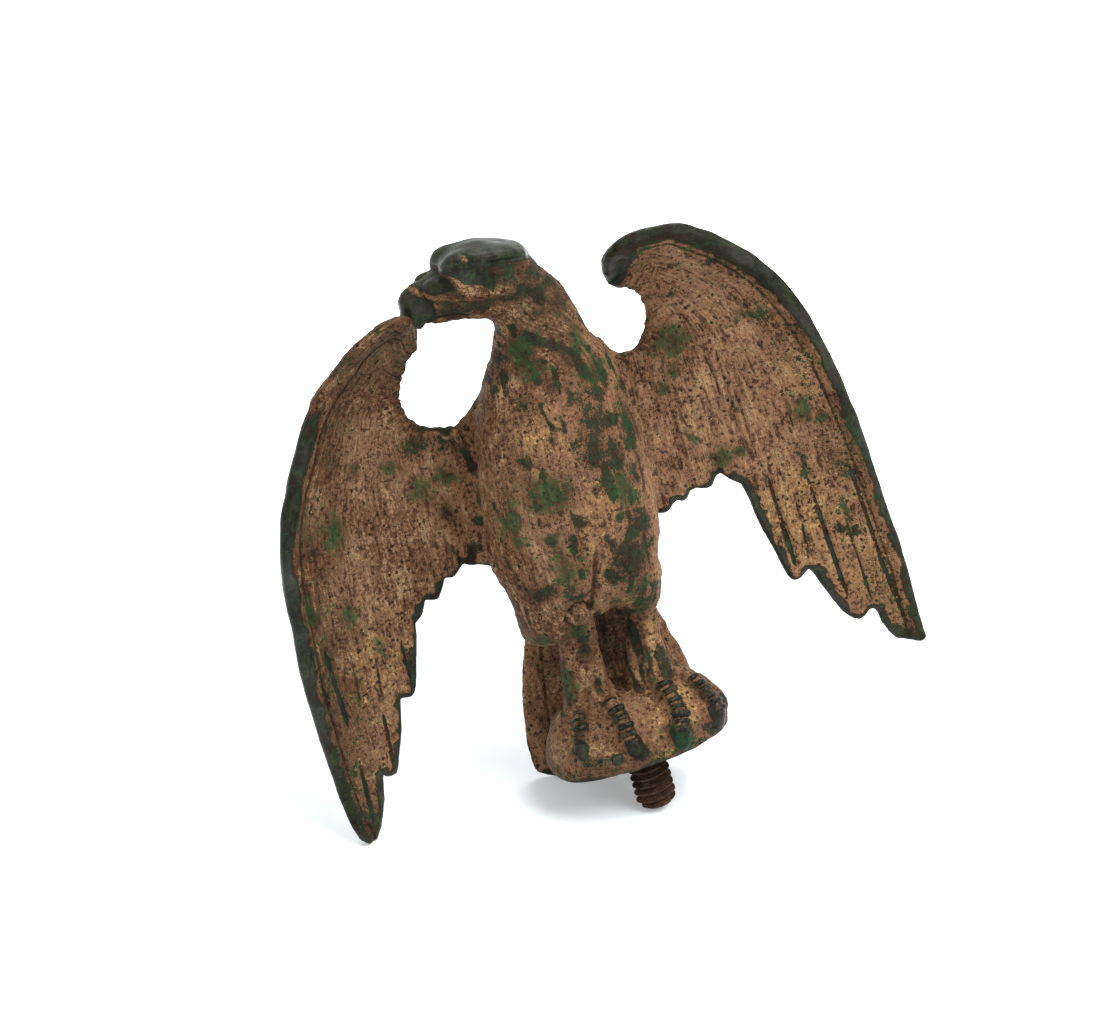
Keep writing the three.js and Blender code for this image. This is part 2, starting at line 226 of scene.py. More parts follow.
def scatter(cells, seed):
    # a repeatable number from -1 to 1 for each lattice cell
    mixed = np.full(cells.shape[0], seed * 668265263 % 2 ** 32, np.uint32)
    for c in range(cells.shape[1]):
        mixed = (mixed ^ cells[:, c].astype(np.int64).astype(np.uint32)) * np.uint32(2654435761)
        mixed ^= mixed >> np.uint32(15)
    mixed *= np.uint32(2246822519)
    mixed ^= mixed >> np.uint32(13)
    return mixed / 2 ** 31 - 1


def grain(points, size, seed):
    # smooth lattice noise from -1 to 1 over points of any number of coordinates
    place = np.asarray(points, float) / size
    cell = np.floor(place)
    t = place - cell
    t = t * t * (3 - 2 * t)
    total = np.zeros(len(place))
    for corner in np.ndindex(*(2,) * place.shape[1]):
        corner = np.array(corner)
        weight = np.prod(np.where(corner, t, 1 - t), 1)
        total += weight * scatter(cell + corner, seed)
    return total


# Torso with the neck and thighs

torsoSizes = {
    "squareness": 2.2,
    "thighBottom": 0.295,
    "thighTop": 0.48,
    "thighBlend": 2.4,
    "foldDepth": 0.75,
}
# Height by neckTop, then sideways shift and half width by torsoHalfWidth, front and back by depth
torsoShares = [
    [0.326, -0.07, 0.4, -0.08, 0.72], [0.36, -0.1, 0.7, -0.5, 0.84], [0.41, -0.1, 0.88, -0.77, 0.88],
    [0.49, -0.1, 1.03, -0.93, 0.88], [0.6, -0.05, 1.02, -1.02, 0.85], [0.7, 0, 0.98, -1, 0.8],
    [0.79, 0.04, 0.91, -0.9, 0.75], [0.87, 0.1, 0.76, -0.77, 0.69], [0.93, 0.14, 0.575, -0.66, 0.63],
    [1, 0.15, 0.44, -0.6, 0.58], [1.03, 0.115, 0.39, -0.56, 0.54], [1.06, 0.05, 0.32, -0.5, 0.48],
    [1.09, -0.03, 0.24, -0.42, 0.4],
]
# Height share from the thigh's foot, then its middle, half width, front and back by depth
thighShares = {
    -1: [
        [0, -0.64, 0.2, -0.12, 0.3], [0.08, -0.65, 0.29, -0.3, 0.42], [0.3, -0.65, 0.37, -0.6, 0.54],
        [0.6, -0.61, 0.4, -0.84, 0.6], [1, -0.5, 0.34, -0.9, 0.5],
    ],
    1: [
        [0, 0.45, 0.15, -0.1, 0.3], [0.08, 0.46, 0.21, -0.28, 0.42], [0.3, 0.43, 0.31, -0.58, 0.54],
        [0.6, 0.36, 0.38, -0.84, 0.6], [1, 0.22, 0.34, -0.9, 0.5],
    ],
}


def ovalRows(shares, height, low=0.0):
    wide = eagle["torsoHalfWidth"]
    deep = eagle["torsoHalfDepth"]
    return [[low + up * height, shift * wide, half * wide, front * deep, back * deep]
            for up, shift, half, front, back in shares]


def foldGap(x, z):
    return x + 2.7 - 0.234 * (z - 29.4)


def torsoField(grid):
    x, y, z = grid
    neckTop = eagle["neckTop"]
    field = ovalLoft(z, x, y, ovalRows(torsoShares, neckTop), torsoSizes["squareness"])
    low = torsoSizes["thighBottom"] * neckTop
    rise = torsoSizes["thighTop"] * neckTop - low
    for side in (-1, 1):
        lobe = ovalLoft(z, x, y, ovalRows(thighShares[side], rise, low), 2)
        field = joined(field, lobe, torsoSizes["thighBlend"])
    # the fold between the thighs runs up the belly
    fold = bump(foldGap(x, z), 1.1) * ramp(z, 44, 34) * ramp(y, 0, -4)
    return field + torsoSizes["foldDepth"] * fold


# Wings

wingSizes = {
    "halfThickness": 1.15,
    "beadRadius": 2.05,
    "beadTaper": 0.52,
    "edgeRadius": 1.1,
    "rootBlend": 4.2,
    "grooveDepth": 0.38,
    "grooveWidth": 0.42,
    "rootSink": 2.4,
    "rootBack": 8,
    "edgeBack": 3,
    "edgeBow": 30,
    "topRoll": 9.7,
    "cupStart": 0.28,
    "cupSpan": 0.7,
    "bowMiddle": 0.34,
    "rollStart": 0.8,
    "beadLine": 0.22,
    "beadSquash": 0.92,
    "beadBlend": 0.55,
}
# The wings' places were picked by eye in the photo, and a separate script turned the pixels into shares
# Leading edges from the curled tip over the wrist to the wing tip, by wingReach and wingTop
wingEdgeShares = {
    -1: [
        [0.322, 0.935], [0.322, 0.965], [0.377, 1.014], [0.465, 1.009], [0.555, 0.979], [0.628, 0.940],
        [0.702, 0.900], [0.762, 0.848], [0.814, 0.796], [0.863, 0.746], [0.906, 0.693], [0.931, 0.645],
        [0.955, 0.569], [0.967, 0.491], [0.977, 0.418], [0.985, 0.345], [0.986, 0.261], [0.985, 0.177],
        [0.981, 0.108], [0.974, 0.059], [0.960, 0.026],
    ],
    1: [
        [0.305, 0.943], [0.308, 0.984], [0.336, 1.004], [0.376, 1.021], [0.423, 1.026], [0.486, 1.022],
        [0.548, 1.014], [0.622, 0.981], [0.695, 0.943], [0.769, 0.892], [0.834, 0.835], [0.877, 0.777],
        [0.909, 0.717], [0.935, 0.659], [0.953, 0.602], [0.968, 0.534], [0.983, 0.468], [0.991, 0.402],
        [0.997, 0.336], [1.003, 0.271], [1.007, 0.207], [1.003, 0.123], [0.997, 0.046],
    ],
}
# Feather tips from the wing tip to the root, then up the hollow beside the neck
wingFeatherShares = {
    -1: [
        [0.938, 0.012], [0.908, 0.011], [0.877, 0.030], [0.840, 0.074], [0.821, 0.121], [0.810, 0.114],
        [0.793, 0.111], [0.774, 0.112], [0.761, 0.123], [0.728, 0.170], [0.688, 0.247], [0.665, 0.243],
        [0.652, 0.242], [0.638, 0.247], [0.627, 0.262], [0.596, 0.318], [0.569, 0.380], [0.539, 0.392],
        [0.519, 0.418], [0.491, 0.411], [0.477, 0.410], [0.461, 0.421], [0.436, 0.445], [0.411, 0.439],
        [0.395, 0.444], [0.367, 0.459], [0.347, 0.450], [0.299, 0.442], [0.1, 0.43], [0.1, 0.81],
        [0.167, 0.773], [0.213, 0.749], [0.265, 0.731], [0.304, 0.735], [0.345, 0.744], [0.379, 0.758],
        [0.404, 0.779], [0.414, 0.802], [0.410, 0.827], [0.393, 0.852], [0.367, 0.882], [0.332, 0.911],
    ],
    1: [
        [0.999, 0.031], [0.986, 0.023], [0.968, 0.023], [0.938, 0.032], [0.913, 0.037], [0.898, 0.052],
        [0.884, 0.077], [0.881, 0.096], [0.874, 0.104], [0.862, 0.104], [0.844, 0.094], [0.823, 0.089],
        [0.803, 0.094], [0.779, 0.113], [0.757, 0.143], [0.736, 0.179], [0.722, 0.207], [0.713, 0.217],
        [0.699, 0.213], [0.681, 0.204], [0.661, 0.203], [0.647, 0.210], [0.638, 0.227], [0.622, 0.269],
        [0.603, 0.324], [0.587, 0.382], [0.576, 0.427], [0.548, 0.441], [0.519, 0.460], [0.504, 0.456],
        [0.484, 0.441], [0.463, 0.439], [0.432, 0.447], [0.411, 0.445], [0.395, 0.433], [0.380, 0.430],
        [0.362, 0.436], [0.347, 0.433], [0.328, 0.422], [0.310, 0.420], [0.291, 0.424], [0.1, 0.43],
        [0.1, 0.81], [0.265, 0.807], [0.277, 0.787], [0.291, 0.772], [0.312, 0.759], [0.352, 0.757],
        [0.377, 0.767], [0.401, 0.785], [0.421, 0.807], [0.426, 0.829], [0.418, 0.855], [0.399, 0.875],
        [0.375, 0.887], [0.346, 0.892], [0.322, 0.907],
    ],
}
# Grooves between the long feathers: depth share, then the places along each
wingGrooveShares = {
    -1: [
        [1, [0.888, 0.445], [0.887, 0.352], [0.886, 0.240]],
        [1, [0.884, 0.200], [0.890, 0.129], [0.902, 0.050]],
        [1, [0.762, 0.260], [0.768, 0.191], [0.779, 0.130]],
        [0.8, [0.637, 0.380], [0.639, 0.318], [0.643, 0.270]],
        [0.6, [0.800, 0.420], [0.814, 0.346], [0.826, 0.270]],
        [0.6, [0.724, 0.400], [0.739, 0.318], [0.752, 0.250]],
        [0.5, [0.925, 0.400], [0.930, 0.280], [0.928, 0.150]],
        [0.45, [0.690, 0.480], [0.700, 0.400], [0.707, 0.330]],
        [0.45, [0.560, 0.510], [0.575, 0.450], [0.585, 0.400]],
    ],
    1: [
        [1, [0.662, 0.470], [0.664, 0.343], [0.672, 0.235]],
        [1, [0.775, 0.465], [0.789, 0.308], [0.805, 0.140]],
        [1, [0.908, 0.480], [0.924, 0.344], [0.937, 0.190], [0.955, 0.065]],
        [0.7, [0.862, 0.370], [0.866, 0.240], [0.874, 0.110]],
        [0.6, [0.722, 0.440], [0.726, 0.330], [0.716, 0.225]],
        [0.5, [0.840, 0.520], [0.846, 0.440], [0.852, 0.360]],
        [0.45, [0.610, 0.510], [0.612, 0.440], [0.606, 0.350]],
    ],
}


def wingPlaces(shares, side):
    return np.array([[side * out * eagle["wingReach"], up * eagle["wingTop"]] for out, up in shares])


def smoothLine(points, steps):
    points = np.asarray(points, float)
    knots = np.concatenate([[0], np.cumsum(np.linalg.norm(np.diff(points, axis=0), axis=1))])
    at = np.linspace(0, knots[-1], steps)
    return np.stack([through(knots, points[:, c], at) for c in range(2)], 1).astype(float)


def wingBack(x, z):
    reach = eagle["wingReach"]
    out = np.maximum(np.abs(x) - wingSizes["cupStart"] * reach, 0) / (wingSizes["cupSpan"] * reach)
    up = z / eagle["wingTop"]
    edge = wingSizes["edgeBack"] - wingSizes["edgeBow"] * (up - wingSizes["bowMiddle"]) ** 2
    roll = np.maximum(up - wingSizes["rollStart"], 0) / 0.2
    root = wingSizes["rootBack"]
    return root - (root - edge) * out ** 2 - wingSizes["topRoll"] * roll ** 2


def wingMap(x, z, side):
    # flat facts about a place on a wing: gap to the outline, gap to the leading edge, share, grooves
    edge = smoothLine(wingPlaces(wingEdgeShares[side], side), 90)
    feathers = wingPlaces(wingFeatherShares[side], side)
    outline = np.concatenate([edge, feathers])
    inside = insideOutline(x, z, outline)
    trailing = np.concatenate([edge[-1:], feathers, edge[:1]])
    toEdge, share = lineDistance(x, z, edge)
    toTrail = gapTo(x, z, trailing)
    outside = np.where(inside, -1, 1) * np.minimum(toEdge, toTrail)
    grooves = np.zeros(inside.shape)
    for depth, *line in wingGrooveShares[side]:
        gap, along = lineDistance(x, z, smoothLine(wingPlaces(line, side), 12))
        fade = ramp(along, -0.02, 0.35) * (0.4 + 0.6 * ramp(along, 1.1, 0.85))
        grooves = np.maximum(grooves, depth * fade * bump(gap, wingSizes["grooveWidth"]))
    return outside, np.where(inside, toEdge, -toEdge), share, toTrail, grooves


def beadRadiusAt(share):
    return wingSizes["beadRadius"] * (1 - wingSizes["beadTaper"] * share) * np.minimum(1, 0.55 + 9 * share)


def wingField(grid, side):
    y = grid[1]
    x, z = flat(grid)
    outside, toEdge, share, toTrail, grooves = wingMap(x, z, side)
    back = wingBack(x, z)
    radius = beadRadiusAt(share)
    tipThin = 0.72 + 0.28 * ramp(toTrail, 0.5, 5)
    front = wingSizes["halfThickness"] * tipThin - wingSizes["grooveDepth"] * grooves
    # sharp line inside the bead
    front = front - wingSizes["beadLine"] * bump(toEdge - 2 * radius - 0.35, 0.4)
    rear = wingSizes["halfThickness"] * tipThin - wingSizes["rootSink"] * ramp(np.abs(x), 12, 4.5)
    plate = np.maximum(lifted(back - front) - y, y - lifted(back + rear))
    field = trimmed(plate, lifted(outside) + 0 * y, wingSizes["edgeRadius"])
    beadBack = back - 0.28 * radius
    deep = (y - lifted(beadBack)) / wingSizes["beadSquash"]
    bead = np.sqrt(lifted(toEdge - radius) ** 2 + deep ** 2) - lifted(radius)
    return joined(field, bead, wingSizes["beadBlend"])


# Head, turned to the bird's right

headSizes = {
    "lineDepth": 0.4,
    "ridgeHeight": 0.4,
    "neckBlend": 2.6,
    "stepHeight": 0.3,
    "napeBlend": 1.6,
    "browBlend": 0.9,
    "beakBlend": 0.7,
    "cereBlend": 0.35,
    "capBlend": 0.6,
}
# Rings across X: place towards the beak, middle height, half height and half width, in millimetres
skullRows = [
    [-7.2, 77.6, 1.8, 2.5], [-5.5, 78.8, 3.3, 4.2], [-3, 80.4, 4.4, 5.2], [0, 81.4, 5.1, 5.8],
    [3, 82.1, 5.3, 5.8], [7, 82.9, 4.9, 5.5], [10, 83.1, 4.2, 4.7], [12.5, 82.6, 3.45, 3.5],
    [14.6, 82.7, 3.1, 2.5], [16.3, 82.9, 2.5, 1.7], [17.6, 82.9, 1.1, 0.8],
]
capRows = [
    [-3.9, 85.7, 0.4, 1.6], [-3.3, 86.0, 0.95, 3.4], [-1.8, 86.65, 1.15, 5.0], [0, 87.2, 1.25, 5.9],
    [3, 87.95, 1.4, 6.3], [6, 88.2, 1.45, 6.1], [8.2, 88.2, 1.3, 5.3], [9.6, 88.1, 0.85, 4.0],
    [10.5, 87.9, 0.4, 2.3],
]
cereRows = [
    [9, 85.9, 0.5, 1.6], [10.4, 85.5, 1.5, 3.4], [12.2, 85.0, 1.7, 3.65], [13.7, 84.6, 1.4, 3.0],
    [14.7, 84.4, 0.5, 1.4],
]
napeRows = [
    [-4.1, 84.4, 0.9, 2.2], [-3, 84.7, 1.5, 3.7], [-1, 85.2, 1.8, 4.9], [1, 85.6, 2.0, 5.5],
    [4, 86.2, 2.2, 5.9], [7, 86.5, 2.2, 5.6], [9, 86.6, 1.6, 4.4],
]
cerePlace = [-12.0, 2.6, 85.5]
cereRadii = [2.2, 1.8, 1.25]
browPlace = [-7.6, 3.3, 87.2]
browRadii = [3.3, 2.6, 2.3]
beakLine = [[-14.4, 0, 83.9], [-15.9, 0, 83.4], [-16.5, 0, 82.0], [-16.35, 0, 80.7], [-15.7, 0, 79.7]]
beakRadii = [2.4, 2.2, 1.75, 1.2, 0.8]
mouthLine = [[-15.4, 80.4], [-12.5, 80.8], [-10.5, 80.6], [-8.5, 79.9]]
cheekRidge = [[-12.4, 88.9], [-10.2, 87.6], [-9.2, 86.1], [-8.4, 84.2], [-6.4, 82.8], [-3, 82.3], [0, 81.8]]
beakEdge = [[-14.3, 84.6], [-13.5, 83.4], [-13.2, 82.0], [-13.6, 80.7]]
beakRidge = [[-15.9, 86.4], [-14.7, 85.0], [-13, 84.0], [-9.8, 83.1]]
stepLine = [[-4.3, 87.9], [-4.5, 86.2], [-4.9, 84.3]]   # upright ridge behind the brow
capUnderside = [[-12.4, 88.4], [-10.4, 87.3], [-8.9, 86.3], [-8, 85.0], [-4.9, 83.9], [-4.3, 86.4],
                [-0.4, 86.0], [2.1, 85.4], [4, 84.6]]
eyePlace = [-7.1, 88.9]


def headRings(grid, rows, squareness):
    x, y, z = grid
    shaped = [[along, 0, width, middle - half, middle + half] for along, middle, half, width in rows]
    return ovalLoft(-x, y, z, shaped, squareness, 0.8)


def withPair(grid, field, place, radii, blend):
    # a lump on either side of the head
    for side in (-1, 1):
        field = joined(field, ball(grid, [place[0], side * place[1], place[2]], radii), blend)
    return field


def headField(grid):
    x, z = flat(grid)
    skull = joined(headRings(grid, skullRows, 2.2), headRings(grid, napeRows, 3), headSizes["napeBlend"])
    lines = np.maximum(bump(gapTo(x, z, mouthLine), 0.42), bump(gapTo(x, z, beakEdge), 0.45))
    ridges = np.maximum(bump(gapTo(x, z, cheekRidge), 0.75), bump(gapTo(x, z, beakRidge), 0.55))
    step = gapTo(x, z, stepLine)
    carved = headSizes["lineDepth"] * lines - headSizes["ridgeHeight"] * ridges
    tall = headSizes["stepHeight"]
    carved = carved + tall * bump(step - 1.1, 0.5) * (x > -4.7) - tall * bump(step, 0.4)
    skull = skull + lifted(carved) * ramp(np.abs(grid[1]), 0.6, 1.8)
    cap = withPair(grid, headRings(grid, capRows, 2.5), browPlace, browRadii, headSizes["browBlend"])
    field = joined(skull, headRings(grid, cereRows, 2), 0.5)
    field = joined(field, rodChain(grid, beakLine, beakRadii), headSizes["beakBlend"])
    field = withPair(grid, field, cerePlace, cereRadii, headSizes["cereBlend"])
    return joined(field, cap, headSizes["capBlend"])


# Legs, each a shank with toes that lie over the plinth

legSizes = {
    "toeRadius": 1.12,
    "toeLift": 0.4,
    "edgeHeight": 0.34,
    "thighBlend": 1.2,
    "plinthBlend": 1.6,
    "shankDepth": 1.15,
    "shankSpread": 0.45,
    "toeBlend": 1.0,
    "border": 0.35,
}
# Shanks: height share from the plinth's top to the thigh, then middle, half width and depth's middle
shankRows = {
    -1: [
        [-0.35, -5.9, 5.4, 1.7], [-0.08, -5.8, 4.8, 1.7], [0.12, -5.7, 4.15, 1.7], [0.35, -5.6, 3.7, 1.65],
        [0.65, -5.45, 3.35, 1.4], [0.95, -5.25, 3.15, 0.6], [1.3, -5.4, 3.2, -1.0], [1.55, -5.6, 2.8, -2.6],
    ],
    1: [
        [-0.35, 4.7, 5.4, 1.7], [-0.08, 4.6, 4.8, 1.7], [0.12, 4.65, 4.0, 1.7], [0.35, 4.95, 3.4, 1.65],
        [0.65, 5.45, 2.8, 1.5], [0.95, 6.2, 2.4, 1.1], [1.3, 6.6, 2.5, 0.2], [1.55, 6.7, 2.4, -0.8],
    ],
}
# The edge that runs down each shank beside the hollow between the legs
shankEdges = {
    -1: [[-2.9, 25], [-2.8, 20], [-2.9, 16], [-3.3, 12.4]],
    1: [[6.2, 24], [5.4, 20.5], [4.4, 16.5], [3.8, 13.2]],
}
# Toes by plinthHalfWidth across and plinthHeight up, from shank to claw, with the claw's radius,
# the number of scutes and how wide they are
toePlans = {
    -1: [
        {"claw": 0.95, "scutes": 7, "girth": 0.8,
         "line": [[-0.44, 1.04], [-0.47, 0.97], [-0.54, 0.91], [-0.59, 0.83], [-0.64, 0.7], [-0.69, 0.56],
                  [-0.73, 0.43]]},
        {"claw": 1.3, "scutes": 7, "girth": 1.0,
         "line": [[-0.25, 1.05], [-0.22, 1.0], [-0.22, 0.92], [-0.21, 0.83], [-0.19, 0.62], [-0.2, 0.47],
                  [-0.14, 0.26]]},
        {"claw": 0.55, "scutes": 4, "girth": 0.5,
         "line": [[-0.8, 0.42], [-0.73, 0.34], [-0.59, 0.3], [-0.45, 0.28], [-0.33, 0.3]]},
    ],
    1: [
        {"claw": 1.6, "scutes": 7, "girth": 1.12,
         "line": [[0.35, 0.93], [0.36, 0.88], [0.375, 0.82], [0.4, 0.72], [0.4, 0.58], [0.37, 0.42],
                  [0.33, 0.2]]},
        {"claw": 1.35, "scutes": 6, "girth": 0.95,
         "line": [[0.68, 0.83], [0.73, 0.74], [0.78, 0.63], [0.815, 0.5], [0.83, 0.37], [0.81, 0.22]]},
        {"claw": 0.7, "scutes": 0, "girth": 0.5,
         "line": [[0.64, 0.98], [0.77, 0.88], [0.87, 0.75], [0.935, 0.59], [0.97, 0.43], [0.99, 0.28]]},
    ],
}
# Height, half width, then front and back measured from the plinth's front by its depth
plinthShares = [
    [0, 0.95, 0.035, 0.965], [0.085, 1, 0, 1], [0.33, 0.993, 0.02, 1], [0.6, 0.912, 0.12, 0.98],
    [0.81, 0.784, 0.24, 0.94], [0.945, 0.595, 0.36, 0.88], [1, 0.34, 0.47, 0.8], [1.03, 0.12, 0.56, 0.7],
]
plinthSquareness = 2.5


def plinthRows():
    front = eagle["plinthFront"]
    deep = eagle["plinthDepth"]
    return [[up * eagle["plinthHeight"], 0, half * eagle["plinthHalfWidth"],
             front + near * deep, front + far * deep] for up, half, near, far in plinthShares]


def onPlinth(share, lift):
    # the place on the dome's front at a share of its width and height, and the way out of it
    out, up = share
    table = np.array(plinthRows())
    height = min(up, 0.99) * eagle["plinthHeight"]
    half, near, far = (float(through(table[:, 0], table[:, k], np.array(height))) for k in (2, 3, 4))
    across = out * eagle["plinthHalfWidth"]
    span = min(abs(across) / half, 0.985)
    y = (near + far) / 2 - (far - near) / 2 * (1 - span ** plinthSquareness) ** (1 / plinthSquareness)
    across = math.copysign(span * half, across)
    away = np.array([across / half ** 1.2, (y - (near + far) / 2) / 9, 0.25 + 1.1 * up])
    away /= np.linalg.norm(away)
    place = np.array([across, y, up * eagle["plinthHeight"]])
    return place + lift * away, away


def toeLine(plan, count=None):
    # evenly spaced places along a toe, on the dome's skin
    line = smoothLine(plan["line"], count or len(plan["line"]))
    return [onPlinth(share, legSizes["toeLift"]) for share in line]


def plinthField(grid):
    x, y, z = grid
    return ovalLoft(z, x, y, plinthRows(), plinthSquareness, 0.9)


def legField(grid, side):
    x, y, z = grid
    rise = torsoSizes["thighBottom"] * eagle["neckTop"] - eagle["plinthHeight"]
    rows = []
    for up, middle, half, behind in shankRows[side]:
        deep = legSizes["shankDepth"] + legSizes["shankSpread"] * half
        rows.append([eagle["plinthHeight"] + up * rise, middle, half, behind - deep, behind + deep])
    field = ovalLoft(z, x, y, rows, 2.2)
    edge = gapTo(*flat(grid), shankEdges[side])
    edge = legSizes["edgeHeight"] * (bump(edge, 0.5) - 0.8 * bump(edge - 1.3, 0.6))
    field = field - lifted(edge) * ramp(y, 2.5, 0)
    thick = legSizes["toeRadius"]
    for plan in toePlans[side]:
        places = [place for place, _ in toeLine(plan, 11)]
        girth = plan["girth"] * thick
        share = np.linspace(0, 1, len(places))
        radii = girth * (1 + 0.35 * ramp(share, 0.3, 0)) * ramp(share, 1.35, 0.7)
        radii = radii + (plan["claw"] - girth) * bump(share - 0.84, 0.2)
        field = joined(field, rodChain(grid, places, radii), legSizes["toeBlend"])
    return field


# Tail, a fan that hangs from the rump behind the plinth

tailSizes = {
    "shift": -0.05,
    "drop": 4.5,
    "halfWidth": 14.9,
    "thickness": 2.8,
    "grooveDepth": 0.45,
    "feathers": 7,
    "rumpBlend": 2,
    "rumpHeight": 0.4,
    "plinthGap": 0.3,
}
# Height share from the tail's foot to the rump, half width, how far back, thickness
tailShares = [
    [0, 0.72, 1, 0.5], [0.05, 0.93, 1, 0.85], [0.17, 1.01, 1, 1], [0.32, 0.98, 0.98, 1],
    [0.55, 0.86, 0.9, 1.05], [0.75, 0.72, 0.8, 1.15], [1, 0.55, 0.62, 1.3],
]


def tailField(grid):
    x, y, z = grid
    wide = tailSizes["halfWidth"]
    thick = tailSizes["thickness"]
    back = eagle["plinthFront"] + eagle["plinthDepth"] + tailSizes["plinthGap"] + thick / 2
    rise = tailSizes["rumpHeight"] * eagle["neckTop"] + tailSizes["drop"]
    middle = tailSizes["shift"] * wide
    rows = [[up * rise - tailSizes["drop"], middle, half * wide,
             behind * back - t * thick / 2, behind * back + t * thick / 2]
            for up, half, behind, t in tailShares]
    field = ovalLoft(z, x, y, rows, 4, 1.0)
    table = np.array(rows)
    spread = (x - middle) / through(table[:, 0], table[:, 2], z)
    feather = np.cos(math.pi * tailSizes["feathers"] * spread)
    behind = y - through(table[:, 0], (table[:, 3] + table[:, 4]) / 2, z)
    grooves = ramp(-feather, 0.55, 1.0) * ramp(z, 30, 22) * (0.3 + 0.7 * ramp(behind, -0.5, 0.5))
    return field + tailSizes["grooveDepth"] * grooves


# The whole casting, and how it is shared out between the pieces

joints = {
    "wingBorder": 1.0,
    "headHeight": 76.2,
    "legBorder": 0.5,
    "tailBorder": 1.0,
    "plinthGap": 0.15,
    "sink": 1.2,
    "under": 1.1,
}


def owned(whole, beyond):
    # the piece keeps the common skin up to its border, then sinks under its neighbour
    return np.maximum(whole + joints["sink"] * np.maximum(beyond, 0), beyond - joints["under"])


def buildTorso(grid):
    torso = torsoField(grid)
    whole = torso
    for side in (-1, 1):
        whole = joined(whole, wingField(grid, side), wingSizes["rootBlend"])
    whole = joined(whole, headField(grid), headSizes["neckBlend"])
    for side in (-1, 1):
        whole = joined(whole, legField(grid, side), legSizes["thighBlend"])
    whole = joined(whole, tailField(grid), tailSizes["rumpBlend"])
    beyond = np.maximum(torso - joints["wingBorder"], grid[2] - joints["headHeight"])
    return owned(whole, beyond)


def buildWing(side):
    def build(grid):
        torso = torsoField(grid)
        whole = joined(torso, wingField(grid, side), wingSizes["rootBlend"])
        return owned(whole, joints["wingBorder"] - torso)
    return build


def buildHead(grid):
    whole = joined(torsoField(grid), headField(grid), headSizes["neckBlend"])
    return owned(whole, joints["headHeight"] - grid[2])


def buildLeg(side):
    def build(grid):
        torso = torsoField(grid)
        leg = legField(grid, side)
        whole = joined(leg, torso, legSizes["thighBlend"])
        whole = joined(whole, plinthField(grid), legSizes["plinthBlend"])
        beyond = np.maximum(joints["legBorder"] - torso, leg - legSizes["border"])
        return np.maximum(owned(whole, beyond), 0 * whole - side * grid[0])
    return build


def buildPlinth(grid):
    legs = joined(legField(grid, -1), legField(grid, 1), 0.5)
    whole = joined(plinthField(grid), legs, legSizes["plinthBlend"])
    return owned(whole, legSizes["border"] - legs)


def buildTail(grid):
    torso = torsoField(grid)
    whole = joined(torso, tailField(grid), tailSizes["rumpBlend"])
    field = owned(whole, joints["tailBorder"] - torso)
    return np.maximum(field, joints["plinthGap"] - plinthField(grid))
